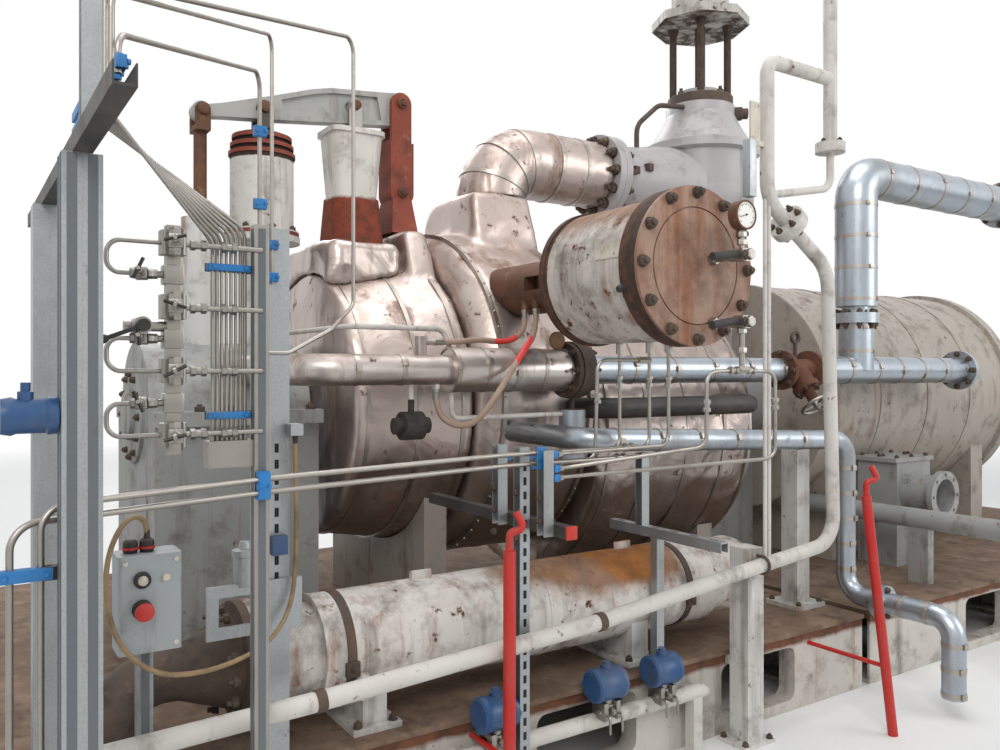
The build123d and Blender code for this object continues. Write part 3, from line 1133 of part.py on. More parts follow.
# Cooling pipe from under the barrel towards the operating side
COOLING_X = 560.0
COOLING_Z = 740.0
COOLING_END = -1850.0
COOLING_DIAMETER = 114.3
COOLING_BORE = 50.0
COOLING_FOOT_Y = -1300.0
with BuildPart() as cooling_pipe:
    front = Plane(origin=(COOLING_X, COOLING_END, COOLING_Z), x_dir=(1, 0, 0), z_dir=(0, 1, 0))
    with BuildSketch(front):
        Circle(COOLING_DIAMETER / 2)
    extrude(amount=-COOLING_END - 200)
    flange_at(front, 230, 24, 8, 18, 190)
    with BuildSketch(front):
        Circle(COOLING_BORE)
    extrude(amount=BORE_DEPTH, mode=Mode.SUBTRACT)
    with BuildSketch(across_x(COMPRESSOR_START - 100, 0, COMPRESSOR_HEIGHT)):
        Circle(COMPRESSOR_RADIUS + SEAT)
    extrude(amount=COMPRESSOR_LENGTH, mode=Mode.SUBTRACT)
    with BuildSketch(level(COOLING_X, COOLING_FOOT_Y, DECK_TOP + SEAT)):
        Rectangle(60, 120)
    extrude(amount=COOLING_Z - DECK_TOP)
finish(cooling_pipe, "cooling_pipe")

# Instrument rack: slotted columns, top channel
RACK_X = -3945.0
RACK_NEAR = -1996.0
RACK_FAR = -1297.0
RACK_TOP = 2080.0
CHANNEL_TOP = RACK_TOP + STRUT
MAST_Y = -2167.0
MAST_TOP = 2450.0
POST_X = -3333.0
POST_Y = -1485.0
POST_TOP = 2045.0
POST_FRONT = POST_Y - STRUT / 2
FRAME_X = -3402.0
FRAME_WIDTH = 293.0
FRAME_LOW = 795.0
FRAME_HEIGHT = 160.0
FRAME_THICK = 12.0
CABLE_X = -3286.0
CABLE_Y = -1541.0
CABLE_TOP = 1400.0
with BuildPart() as rack_columns:
    for y, bottom in ((RACK_NEAR, 0.0), (RACK_FAR, DECK_TOP)):
        with BuildSketch(level(RACK_X, y, bottom)):
            with GridLocations(STRUT + 1, STRUT + 1, 2, 2):
                Rectangle(STRUT, STRUT)
                Rectangle(STRUT - 8, STRUT - 8, mode=Mode.SUBTRACT)
            Rectangle(3, 2 * STRUT)
            Rectangle(2 * STRUT, 3)
        extrude(amount=RACK_TOP - bottom)
    with BuildSketch(level(RACK_X, MAST_Y, CHANNEL_TOP + SEAT)):
        Rectangle(STRUT, STRUT)
        with Locations((-4, 0)):
            Rectangle(STRUT - 6, STRUT - 6, mode=Mode.SUBTRACT)
    extrude(amount=MAST_TOP - CHANNEL_TOP - SEAT)
    with BuildSketch(level(POST_X, POST_Y, DECK_TOP)):
        Rectangle(2 * STRUT, STRUT)
        Rectangle(2 * STRUT - 12, STRUT - 12, mode=Mode.SUBTRACT)
    extrude(amount=POST_TOP - DECK_TOP)
    with BuildSketch(Plane(origin=(FRAME_X, POST_FRONT, FRAME_LOW + FRAME_HEIGHT / 2), x_dir=(1, 0, 0),
                           z_dir=(0, -1, 0))):
        Rectangle(FRAME_WIDTH, FRAME_HEIGHT)
        with Locations((-40, 0)):
            Rectangle(FRAME_WIDTH - 150, FRAME_HEIGHT - 70, mode=Mode.SUBTRACT)
    extrude(amount=FRAME_THICK)
    with BuildSketch(Plane(origin=(CABLE_X, POST_FRONT + 2, CABLE_TOP + 18), x_dir=(1, 0, 0), z_dir=(0, -1, 0))):
        RectangleRounded(40, 36, 4)
    extrude(amount=POST_FRONT - CABLE_Y + 20)
finish(rack_columns, "rack_columns")

with BuildPart() as rack_channel:
    with BuildSketch(across_y(RACK_X, -2560, RACK_TOP + STRUT / 2)):
        Rectangle(STRUT, STRUT)
        with Locations((0, 4)):
            Rectangle(STRUT - 6, STRUT - 3, mode=Mode.SUBTRACT)
    extrude(amount=1700)
    with BuildSketch(across_y(CHANNEL_X, TRIO_FRONT - 89, CHANNEL_Z + STRUT / 2)):
        Rectangle(STRUT, STRUT)
    extrude(amount=960)
finish(rack_channel, "black_channels")

# Tube bundle from the channel down to the terminal block
BUNDLE_TUBES = 8
BUNDLE_TUBE = 10.0
BUNDLE_PITCH = 12.5
BUNDLE_X = -3595.0
BUNDLE_Y = -1760.0
BUNDLE_BEND = 50.0
BLOCK_TOP = 1412.0
BLOCK_BOTTOM = 1340.0
with BuildPart() as tube_bundle:
    for index in range(BUNDLE_TUBES):
        shift = index * BUNDLE_PITCH
        pipe_along([(RACK_X, -2010 + shift, CHANNEL_TOP + SEAT), (RACK_X, -2010 + shift, 2260 - shift / 2),
                    (BUNDLE_X + shift, BUNDLE_Y, 1945 + shift / 2), (BUNDLE_X + shift, BUNDLE_Y, BLOCK_TOP + SEAT)],
                   BUNDLE_TUBE, BUNDLE_BEND)
finish(tube_bundle, "tube_bundle")

# Valve header of the instrument rack: a strut, stayed to the skid, with the bundle's terminal
# block, cross arms, the upright header with its valve blocks, and the lever valve
BLOCK_X = (2 * BUNDLE_X + (BUNDLE_TUBES - 1) * BUNDLE_PITCH) / 2
BLOCK_WIDTH = 120.0
BLOCK_DEPTH = 52.0
HEADER_STRUT_X = BLOCK_X + BLOCK_WIDTH / 2 + STRUT / 2
HEADER_STRUT_Y = -1775.0
HEADER_STRUT_TOP = 2000.0
HEADER_X = -3705.0
HEADER_Y = -1795.0
HEADER_WIDTH = 34.0
HEADER_LOW = 1385.0
HEADER_TOP = 1975.0
ARM = 14.0
ARM_HEIGHTS = (1435.0, 1600.0, 1765.0, 1930.0)
VALVE_BLOCK = 62.0
LEVER_VALVE_X = -3786.0
LEVER_VALVE_Z = 1714.0
LEVER_VALVE_FACE = -1850.0
with BuildPart() as manifold:
    with BuildSketch(level(BLOCK_X, BUNDLE_Y, BLOCK_BOTTOM)):
        Rectangle(BLOCK_WIDTH, BLOCK_DEPTH)
    extrude(amount=BLOCK_TOP - BLOCK_BOTTOM)
    with BuildSketch(level(HEADER_STRUT_X, HEADER_STRUT_Y, 0)):
        Rectangle(STRUT, STRUT)
    extrude(amount=HEADER_STRUT_TOP)
    with BuildSketch(level(HEADER_X, HEADER_Y, HEADER_LOW)):
        Rectangle(HEADER_WIDTH, HEADER_WIDTH)
    extrude(amount=HEADER_TOP - HEADER_LOW)
    for z in ARM_HEIGHTS:
        with BuildSketch(across_x(HEADER_X, HEADER_Y, z)):
            Circle(ARM / 2)
        extrude(amount=HEADER_STRUT_X - HEADER_X)
        with BuildSketch(level(HEADER_X, HEADER_Y, z - VALVE_BLOCK / 2)):
            RectangleRounded(VALVE_BLOCK, VALVE_BLOCK * 0.8, 8)
        extrude(amount=VALVE_BLOCK)
    with BuildSketch(across_x(LEVER_VALVE_X - 36, HEADER_Y, LEVER_VALVE_Z)):
        Circle(13)
    extrude(amount=HEADER_X - LEVER_VALVE_X + 36)
    with BuildSketch(Plane(origin=(LEVER_VALVE_X, HEADER_Y + 24, LEVER_VALVE_Z), x_dir=(1, 0, 0), z_dir=(0, -1, 0))):
        Circle(22)
    extrude(amount=HEADER_Y + 24 - LEVER_VALVE_FACE)
    stay_to_skid(HEADER_STRUT_X, HEADER_STRUT_Y + STRUT / 2 - 1)
finish(manifold, "manifold")

# Handle of the lever valve with its black grip
HANDLE_LENGTH = 205.0
HANDLE_DIP = 22.0
with BuildPart() as valve_handle:
    dip = math.radians(HANDLE_DIP)
    with BuildSketch(Plane(origin=(LEVER_VALVE_X, LEVER_VALVE_FACE - SEAT, LEVER_VALVE_Z),
                           x_dir=(math.cos(dip), 0, math.sin(dip)), z_dir=(0, -1, 0))):
        Circle(16)
        with Locations((-HANDLE_LENGTH / 4, 0)):
            Rectangle(HANDLE_LENGTH / 2, 14)
        with Locations((-0.72 * HANDLE_LENGTH, 0)):
            SlotOverall(0.56 * HANDLE_LENGTH, 24)
    extrude(amount=12)
finish(valve_handle, "valve_handle")

# Tube pair along the front
PAIR_TUBE = 16.0
PAIR_Y = TRIO_FRONT + STRUT / 2 + PAIR_TUBE / 2 + SEAT
PAIR_PASS_Y = HEADER_STRUT_Y - STRUT / 2 - PAIR_TUBE / 2 - 3.4
with BuildPart() as tube_pair:
    for index in range(2):
        z = 1262 + 36 * index
        x = -4080 + 60 * index
        pipe_along([(x, -1960, 640), (x, -1960, z), (HEADER_STRUT_X, PAIR_PASS_Y, z + 7),
                    (CHANNEL_X - 200, PAIR_Y, z + 20), (-2030, PAIR_Y, z + 20)], PAIR_TUBE, 60.0)
finish(tube_pair, "tube_pair")

# Front struts: a trio on the black channel, the middle one down to the floor, and the slotted
# rail beside the vessel with its own strut
RAIL_STRUT_X = -1690.0
RAIL_STRUT_Y = -1472.0
SLOT_RAIL_Z = 900.0
SLOT_RAIL_START = -1840.0
SLOT_RAIL_END = -1190.0
RAIL_MAST_Y = -1380.0
RAIL_MAST_TOP = 1250.0
RAIL_SLOTS = 6
with BuildPart() as front_struts:
    for index in range(3):
        y = TRIO_FRONT + index * TRIO_PITCH
        bottom = 0.0 if index == 1 else CHANNEL_Z
        with BuildSketch(level(TRIO_X, y, bottom)):
            Rectangle(STRUT, STRUT)
            with Locations((-4, 0)):
                Rectangle(STRUT - 6, STRUT - 6, mode=Mode.SUBTRACT)
        extrude(amount=TRIO_TOP - bottom)
    stay_to_skid(TRIO_X, TRIO_FRONT + TRIO_PITCH + STRUT / 2 - 1)
    with BuildSketch(level(RAIL_STRUT_X, RAIL_STRUT_Y, DECK_TOP)):
        Rectangle(STRUT, STRUT - 2)
    extrude(amount=SLOT_RAIL_Z - DECK_TOP)
    with BuildSketch(across_y(RAIL_STRUT_X, SLOT_RAIL_START, SLOT_RAIL_Z + STRUT / 2)):
        Rectangle(STRUT, STRUT)
        with Locations((0, -3)):
            Rectangle(STRUT - 6, STRUT - 6, mode=Mode.SUBTRACT)
    extrude(amount=SLOT_RAIL_END - SLOT_RAIL_START)
    slot_pitch = (SLOT_RAIL_END - SLOT_RAIL_START) / RAIL_SLOTS
    with BuildSketch(level(RAIL_STRUT_X, (SLOT_RAIL_START + SLOT_RAIL_END) / 2, SLOT_RAIL_Z + STRUT)):
        with GridLocations(slot_pitch, slot_pitch, 1, RAIL_SLOTS):
            SlotOverall(0.45 * slot_pitch, 13, rotation=90)
    extrude(amount=-8, mode=Mode.SUBTRACT)
    with BuildSketch(level(RAIL_STRUT_X, RAIL_MAST_Y, SLOT_RAIL_Z + STRUT)):
        Rectangle(STRUT, STRUT)
        with Locations((-4, 0)):
            Rectangle(STRUT - 6, STRUT - 6, mode=Mode.SUBTRACT)
    extrude(amount=RAIL_MAST_TOP - SLOT_RAIL_Z - STRUT)
finish(front_struts, "front_struts")

# Push-button box on its post
BUTTON_BOX_X = -3738.0
BUTTON_BOX_Y = -1640.0
BUTTON_BOX_Z = 850.0
BUTTON_BOX_HEIGHT = 260.0
BOX_GLAND = 30.0
with BuildPart() as junction_box:
    with BuildSketch(level(BUTTON_BOX_X, BUTTON_BOX_Y, BUTTON_BOX_Z)):
        RectangleRounded(160, 110, 10)
    extrude(amount=BUTTON_BOX_HEIGHT)
    with BuildSketch(level(BUTTON_BOX_X, BUTTON_BOX_Y, BUTTON_BOX_Z + BUTTON_BOX_HEIGHT)):
        RegularPolygon(BOX_GLAND / 2, 6)
    extrude(amount=34)
    with BuildSketch(level(BUTTON_BOX_X, BUTTON_BOX_Y + 40, 0)):
        Rectangle(STRUT, STRUT)
    extrude(amount=BUTTON_BOX_Z + 50)
    stay_to_skid(BUTTON_BOX_X, BUTTON_BOX_Y + 40 + STRUT / 2 - 1)
finish(junction_box, "junction_box")

# Transmitters on their rail before the skid
RAIL_Y = -1555.0
RAIL_Z = 250.0
TRANSMITTER = 130.0
TRANSMITTER_Z = 395.0
HOUSING_REACH = 25.0
TRANSMITTER_X = (-2570.0, -2062.0, -1769.0)
with BuildPart() as transmitters:
    pipe_along([(-2780, RAIL_Y, RAIL_Z), (-1500, RAIL_Y, RAIL_Z)], LINE_DIAMETER, 0)
    for x in (-2720, -1560):
        with BuildSketch(level(x, RAIL_Y, 0)):
            Rectangle(50, 50)
        extrude(amount=RAIL_Z)
        with BuildSketch(across_y(x, RAIL_Y, RAIL_Z)):
            Rectangle(50, 40)
        extrude(amount=-SKID_HALF_WIDTH - SEAT - RAIL_Y)
    for x in TRANSMITTER_X:
        with BuildSketch(level(x, RAIL_Y, RAIL_Z)):
            Circle(22)
        extrude(amount=TRANSMITTER_Z - RAIL_Z)
        with BuildSketch(across_x(x - TRANSMITTER / 2, RAIL_Y - HOUSING_REACH, TRANSMITTER_Z)):
            Circle(TRANSMITTER / 2 - 4)
        extrude(amount=TRANSMITTER)
finish(transmitters, "transmitters")

# Hoop tubes from the channel over to the header strut and down the instrument post
HOOP_TUBE = 12.0
HOOP_BEND = 40.0
HOOP_POST_Y = POST_FRONT - HOOP_TUBE / 2 - SEAT
with BuildPart() as hoop_tubes:
    pipe_along([(RACK_X, -2490, CHANNEL_TOP + SEAT), (RACK_X, -2490, 2190), (HEADER_STRUT_X, HEADER_STRUT_Y, 2425),
                (HEADER_STRUT_X, HEADER_STRUT_Y, HEADER_STRUT_TOP + SEAT)], HOOP_TUBE, HOOP_BEND)
    pipe_along([(RACK_X, -2420, CHANNEL_TOP + SEAT), (RACK_X, -2420, 2290), (POST_X - 17, HOOP_POST_Y, 2640),
                (POST_X - 17, HOOP_POST_Y, 1870)], HOOP_TUBE, HOOP_BEND)
    pipe_along([(RACK_X, -2350, CHANNEL_TOP + SEAT), (RACK_X, -2350, 2335), (-3161, -1700, 2610), (-3161, -1700, 1800),
                (-3240, -1715, 1722), (HEADER_STRUT_X + STRUT / 2 + 60, HEADER_STRUT_Y, 1650),
                (HEADER_STRUT_X + STRUT / 2 + SEAT, HEADER_STRUT_Y, 1650)], HOOP_TUBE, HOOP_BEND)
finish(hoop_tubes, "hoop_tubes")

# Braided hoses from the neck's ports, over the clad pipe and round it to its two fittings
HOSE = 26.0
LOWER_FIT = FRONT_PIPE_Z - PORT_REACH
with BuildPart() as braided_hose_upper:
    cord_along([(PORT_X, PORT_Y[0], PORT_Z), (PORT_X, PORT_Y[0], PORT_Z - 80), (-2035, -920, 1745),
                (-2130, -935, 1728), (-2260, -965, 1738), (-2380, FRONT_PIPE_Y, FRONT_PIPE_Z + PORT_RISE),
                (UPPER_PORT_X + 60, FRONT_PIPE_Y, FRONT_PIPE_Z + PORT_RISE)], HOSE)
finish(braided_hose_upper, "braided_hose_upper")

with BuildPart() as braided_hose_lower:
    cord_along([(PORT_X, PORT_Y[1], PORT_Z), (PORT_X, PORT_Y[1], PORT_Z - 108), (-2120, -1110, 1690),
                (-2235, -1142, 1560), (-2330, -1142, 1438), (-2377, -1100, 1375), (-2443, -1042, 1375),
                (LOWER_PORT_X, FRONT_PIPE_Y, 1438), (LOWER_PORT_X, FRONT_PIPE_Y, LOWER_FIT)], HOSE)
finish(braided_hose_lower, "braided_hose_lower")

# Cable from the push-button box, round it and up the instrument post
CABLE = 14.0
with BuildPart() as box_cable:
    gland = BUTTON_BOX_Z + BUTTON_BOX_HEIGHT + 34
    cord_along([(BUTTON_BOX_X, BUTTON_BOX_Y, gland), (BUTTON_BOX_X, BUTTON_BOX_Y, gland + 60),
                (-3800, -1690, 1215), (-3850, -1725, 1130), (-3856, -1735, 1010), (-3825, -1742, 890),
                (-3735, -1738, 800), (-3610, -1700, 770), (-3480, -1640, 768), (-3370, -1580, 790),
                (-3300, -1545, 870), (CABLE_X + 2, CABLE_Y, 1000), (CABLE_X + 4, CABLE_Y, 1140),
                (CABLE_X, CABLE_Y, 1280), (CABLE_X, CABLE_Y, CABLE_TOP)], CABLE)
finish(box_cable, "box_cable")
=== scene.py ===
import bpy
import bmesh
import math
import random
from mathutils import Matrix, Vector, noise


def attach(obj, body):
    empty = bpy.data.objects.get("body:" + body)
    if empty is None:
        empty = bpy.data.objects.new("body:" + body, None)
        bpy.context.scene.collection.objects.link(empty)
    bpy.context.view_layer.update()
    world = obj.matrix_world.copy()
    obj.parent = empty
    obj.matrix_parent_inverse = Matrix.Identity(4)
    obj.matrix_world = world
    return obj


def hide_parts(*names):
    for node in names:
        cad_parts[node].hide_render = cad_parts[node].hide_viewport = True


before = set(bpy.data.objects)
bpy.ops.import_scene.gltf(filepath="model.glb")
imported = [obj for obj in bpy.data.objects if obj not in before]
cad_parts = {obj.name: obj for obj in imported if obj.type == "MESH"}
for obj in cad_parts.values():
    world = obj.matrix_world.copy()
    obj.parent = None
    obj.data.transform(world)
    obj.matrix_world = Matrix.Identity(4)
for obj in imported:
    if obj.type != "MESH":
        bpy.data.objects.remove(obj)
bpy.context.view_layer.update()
random.seed(7)
scene = bpy.context.scene
AX, AY, AZ = Vector((1, 0, 0)), Vector((0, 1, 0)), Vector((0, 0, 1))


# ---- places in the frame
def mm(x, y, z):
    """A point given in millimetres, in metres."""
    return Vector((x, y, z)) / 1000


# Points on the axes of the larger parts, each with what is free along it.
def inlet(x):
    return mm(x, 0, 2810)


def barrel(x):
    return mm(x, 0, 1430)


def front_pipe(x):
    return mm(x, -1000, 1605)


def top_pipe(x):
    return mm(x, -1000, 2775)


def vessel(x):
    return mm(x, -1260, 635)


def drain(y, z):
    return mm(-273, y, z)


def line(x, z):
    return mm(x, -1690, z)


def manifold(x, z):
    return mm(x, -1795, z)


def trip(y):
    return mm(-1888, y, 1985)


def stop_valve(z):
    return mm(112, 0, z)


def servo(z):
    return mm(-2902.7, 0, z)


def riser(z):
    return mm(383, -1000, z)


# ---- camera and light
def add_object(name, data):
    o = bpy.data.objects.new(name, data)
    scene.collection.objects.link(o)
    return o


camera = add_object("camera", bpy.data.cameras.new("camera"))
camera.location = (-4.2, -4.1, 1.6)
camera.rotation_euler = (math.radians(90), 0, math.radians(-33.2))
optics = camera.data
optics.lens = 30.6
optics.sensor_width = 36
optics.shift_y = -0.004
optics.clip_end = 200
scene.camera = camera
scene.view_settings.view_transform = "Standard"


def lamp(name, spot, target, size, power, tint=(1, 1, 1)):
    """A square lamp turned towards its target."""
    light = bpy.data.lights.new(name, "AREA")
    light.shape = "SQUARE"
    light.size = size
    light.energy = power
    light.color = tint
    o = add_object(name, light)
    o.location = spot
    o.rotation_euler = (Vector(target) - Vector(spot)).to_track_quat("-Z", "Y").to_euler()


lamp("key", (-7.5, -8.0, 8.0), (-1.0, 0, 1.4), 5.0, 480, (1.0, 0.98, 0.95))
lamp("fill", (6.0, -9.0, 5.0), (0, 0, 1.5), 6.0, 320)
lamp("back", (0, 9.0, 8.0), (0, 0, 1.5), 6.0, 420)
lamp("top", (-1.0, -1.0, 10.0), (-1.0, 0, 1.0), 6.0, 330)


def feed(tree, socket, value):
    """Set a node's input: a node or a socket is linked, None leaves it, all else is its value."""
    if isinstance(value, bpy.types.Node):
        value = value.outputs[0]
    if isinstance(value, bpy.types.NodeSocket):
        tree.links.new(value, socket)
    elif value is not None:
        socket.default_value = value


def add_node(tree, kind, *values, **named):
    """A shader node. Values feed its inputs in order, Capital names feed inputs, others are settings."""
    node = tree.nodes.new("ShaderNode" + kind)
    for key, value in named.items():
        if key.islower():
            setattr(node, key, value)
    for socket, value in zip(node.inputs, values):
        feed(tree, socket, value)
    for key, value in named.items():
        if not key.islower():
            feed(tree, node.inputs[key], value)
    return node


world = bpy.data.worlds.new("studio")
scene.world = world
world.use_nodes = True
sky = world.node_tree
sky.nodes.clear()
ray = add_node(sky, "LightPath").outputs
direct = add_node(sky, "Math", ray["Is Camera Ray"], ray["Is Transmission Ray"], operation="MAXIMUM")
mirrored = add_node(sky, "Math", direct, ray["Is Glossy Ray"], operation="MAXIMUM")
daylight = add_node(sky, "Background", (0.93, 0.96, 1.0, 1), 0.42)
backdrop = add_node(sky, "Background", (1, 1, 1, 1))
add_node(sky, "OutputWorld", add_node(sky, "MixShader", mirrored, daylight, backdrop))


# ---- materials
def linear(color):
    """A colour in linear light: three numbers to 255 are sRGB, four are linear already."""
    if len(color) == 4:
        return color
    return tuple(v / 12.92 if v <= 0.04045 else ((v + 0.055) / 1.055) ** 2.4
                 for v in (c / 255.0 for c in color)) + (1.0,)


class Mat:
    """A node material built in layers over one Principled shader."""

    def __init__(self, name, base, rough, metal, vary, vary_scale):
        base = linear(base)
        self.m = bpy.data.materials.new(name)
        self.m.use_nodes = True
        self.m.diffuse_color = base
        self.tree = self.m.node_tree
        self.bsdf = self.tree.nodes["Principled BSDF"]
        self.space = self.node("TexCoord").outputs["Object"]
        dark, light = (tuple(min(1, c * k) for c in base[:3]) + (1,) for k in (1 - vary, 1 + vary))
        self.color = self.ramp(self.noise(vary_scale, 5), 0.3, dark, light)
        self.rough = self.scaled(self.noise(vary_scale * 4, 4), 0.3, 0.7, rough - 0.06, rough + 0.08)
        self.metal = metal
        self.bumps = []

    def node(self, kind, *values, **named):
        return add_node(self.tree, kind, *values, **named)

    def noise(self, scale, detail=6, rough=0.6, stretch=None, distortion=0.0):
        space = self.node("Mapping", Vector=self.space, Scale=stretch) if stretch else self.space
        return self.node("TexNoise", Vector=space, Scale=scale, Detail=detail, Roughness=rough,
                         Distortion=distortion).outputs["Fac"]

    def cells(self, scale, feature="F1"):
        return self.node("TexVoronoi", feature=feature, Vector=self.space, Scale=scale).outputs["Distance"]

    def ramp(self, fac, edge, low, high):
        """From one colour to another, between an edge and one minus the edge."""
        node = self.node("ValToRGB", fac)
        for element, at, value in zip(node.color_ramp.elements, (edge, 1 - edge), (low, high)):
            element.position = at
            element.color = value
        return node.outputs["Color"]

    def scaled(self, fac, a, b, low, high):
        return self.node("MapRange", fac, a, b, low, high).outputs["Result"]

    def math(self, op, a, b):
        return self.node("Math", a, b, operation=op, use_clamp=True).outputs[0]

    def mix(self, fac, a, b):
        """A blend of two colours, the second one a colour or a socket."""
        b = linear(b) if isinstance(b, tuple) else b
        return self.node("Mix", fac, *[None] * 5, a, b, data_type="RGBA").outputs[2]

    def mix_value(self, fac, a, b):
        return self.node("Mix", fac, None, a, b).outputs[0]

    def upward(self, low=0.1, high=0.9):
        """A mask that is strong on faces that look up."""
        normal = self.node("NewGeometry").outputs["Normal"]
        return self.scaled(self.node("SeparateXYZ", normal).outputs["Z"], low, high, 0, 1)

    def along(self, axis, low, high):
        """A mask that rises from low to high along an axis of the frame, in metres."""
        return self.scaled(self.node("SeparateXYZ", self.space).outputs[axis], low, high, 0, 1)

    def cover(self, mask, color, color2=None, scale=20.0, rough=None, metal=None):
        """Lay a colour, or a mottle of two, over what is there."""
        if color2:
            color = self.ramp(self.noise(scale), 0.35, linear(color), linear(color2))
        self.color = self.mix(mask, self.color, color)
        if rough is not None:
            self.rough = self.mix_value(mask, self.rough, rough)
        if metal is not None:
            self.metal = self.mix_value(mask, self.metal, metal)
        return mask

    def layer(self, color, scale, at, soft, rough=None, metal=None, stretch=None, amount=1.0,
              top=False, color2=None):
        """A patchy layer of another colour over what is there."""
        mask = self.scaled(self.noise(scale, 10, 0.65, stretch), at - soft, at + soft, 0, amount)
        if top:
            mask = self.math("MULTIPLY", mask, self.upward())
        return self.cover(mask, color, color2, scale * 5, rough, metal)

    def wash(self, mask, color, color2, scale, soft, amount=1.0, rough=0.85, metal=None):
        """A colour over a masked region, with a ragged edge."""
        edge = self.math("ADD", self.math("MULTIPLY", self.noise(scale, 8, 0.7), 0.5),
                         self.math("MULTIPLY", mask, 0.75))
        mask = self.scaled(edge, 0.62 - soft, 0.62 + soft, 0, amount)
        self.cover(mask, color, color2, scale * 3, rough, metal)

    def bump(self, height, strength, distance):
        self.bumps.append((height, strength, distance))

    def done(self):
        normal = None
        for height, strength, distance in self.bumps:
            normal = self.node("Bump", Height=height, Strength=strength, Distance=distance, Normal=normal)
        for name, value in (("Base Color", self.color), ("Roughness", self.rough), ("Metallic", self.metal),
                            ("Normal", normal)):
            feed(self.tree, self.bsdf.inputs[name], value)
        return self.m


RUST = (116, 62, 34)
RUST_LIGHT = (158, 92, 48)
RUST_DARK = (62, 34, 24)
DIRT = (74, 62, 52)
DUST = (150, 136, 118)


def painted(name, base, wear=0.3, rough=0.5, top=0.0, scale=1.0):
    """Worn paint: tone, dust, streaks that run down, and rust where it is worn through."""
    m = Mat(name, base, rough, 0.0, 0.06, 2.2 * scale)
    m.layer(DUST, 3.5 * scale, 0.58, 0.16, 0.72, amount=0.15 + 0.3 * wear)
    m.layer(DIRT, 7.0 * scale, 0.68 - 0.14 * wear, 0.10, 0.8, amount=0.6)
    m.layer(DIRT, 9.0 * scale, 0.67 - 0.12 * wear, 0.08, 0.75, stretch=(1.0, 1.0, 0.10), amount=0.6)
    chips = m.layer(RUST, 16.0 * scale, 0.73 - 0.16 * wear, 0.03, 0.9, color2=RUST_DARK)
    m.layer(RUST_LIGHT, 11.0 * scale, 0.71 - 0.14 * wear, 0.07, 0.85, stretch=(1.2, 1.2, 0.09), amount=0.6,
            color2=RUST)
    if top:
        m.layer(RUST, 6.0 * scale, 0.74 - 0.28 * top, 0.10, 0.9, top=True, color2=RUST_DARK)
    m.bump(m.noise(60 * scale, 3), 0.12, 0.002)
    m.bump(chips, -0.4, 0.001)
    return m


def rusty(name, base, light, dark, rough=0.85, shine=0.0, scale=1.0):
    """Rusted iron: light and dark patches, specks of dust and a rough skin."""
    m = Mat(name, base, rough, shine, 0.16, 6.0 * scale)
    m.layer(light, 5.0 * scale, 0.57, 0.12, amount=0.7)
    m.layer(dark, 9.0 * scale, 0.60, 0.08, amount=0.8)
    m.layer(DUST, 20.0 * scale, 0.66, 0.05, amount=0.45)
    m.bump(m.noise(90 * scale), 0.4, 0.002)
    return m


def metal(name, base, rough, stain=0.66):
    """Bare metal with a soft mottle, dull patches and brown stain."""
    m = Mat(name, base, rough, 1.0, 0.05, 4)
    m.layer(tuple(c * 0.6 for c in linear(base)[:3]) + (1,), 9, 0.64, 0.12, rough + 0.15, amount=0.45)
    m.layer((120, 92, 72), 8, stain, 0.08, 0.7, 0.3, stretch=(1, 1, 0.15), amount=0.6)
    m.layer((104, 76, 56), 14, stain + 0.03, 0.05, 0.75, 0.2, amount=0.6)
    m.bump(m.noise(50, 4), 0.08, 0.002)
    return m


def cladding(name, base, rough, wear, grime, relief=1.0):
    """Sheet metal jacket: broad soft dents, dull and pinkish patches (the dull grey ones partly a painted
    reflection of darker surroundings), painted shade on faces that look down, brown stain and dust on top.
    """
    m = Mat(name, base, rough, 0.92, 0.05, 1.3)
    m.layer((198, 179, 171), 1.2, 0.50, 0.20, rough + 0.05, amount=0.5)
    # Dull grey patches: a duller finish, with darker colour that is partly a painted reflection of darker
    # surroundings.
    m.layer((170, 160, 154), 2.4, 0.58, 0.16, rough + 0.12, amount=0.5)
    # Faces that look down are darker: painted shade.
    m.cover(m.math("MULTIPLY", m.upward(0.0, -0.9), 0.35), (120, 108, 100), rough=rough + 0.15)
    m.layer((128, 92, 68), 3.5, 0.66 - 0.12 * wear, 0.05, 0.75, 0.25, stretch=(1, 1, 0.2), amount=0.75,
            color2=(96, 66, 48))
    m.layer((106, 72, 52), 12.0, 0.70 - 0.12 * wear, 0.03, 0.8, 0.15, amount=0.9, color2=(70, 46, 34))
    m.layer((134, 106, 84), 3.2, 0.64 - 0.16 * grime, 0.14, 0.75, 0.25, top=True, amount=0.7,
            color2=(104, 76, 56))
    m.bump(m.noise(4.0, 3, 0.5, distortion=1.2), 0.30 * relief, 0.03)
    m.bump(m.cells(6.0, "SMOOTH_F1"), 0.18 * relief, 0.02)
    m.bump(m.noise(30, 4), 0.07 * relief, 0.004)
    return m


def galvanised(name, base, rough):
    """Zinc with a fine spangle, dull streaks and some rust."""
    m = Mat(name, base, rough, 0.9, 0.05, 5)
    m.color = m.mix(m.scaled(m.cells(140), 0.1, 0.7, 0, 0.2), m.color, (200, 204, 206))
    m.layer((118, 108, 98), 6, 0.62, 0.1, 0.65, 0.4, stretch=(1, 1, 0.2), amount=0.5)
    m.layer((110, 74, 50), 12, 0.70, 0.05, 0.8, 0.2, amount=0.8)
    m.bump(m.noise(70, 3), 0.06, 0.002)
    return m


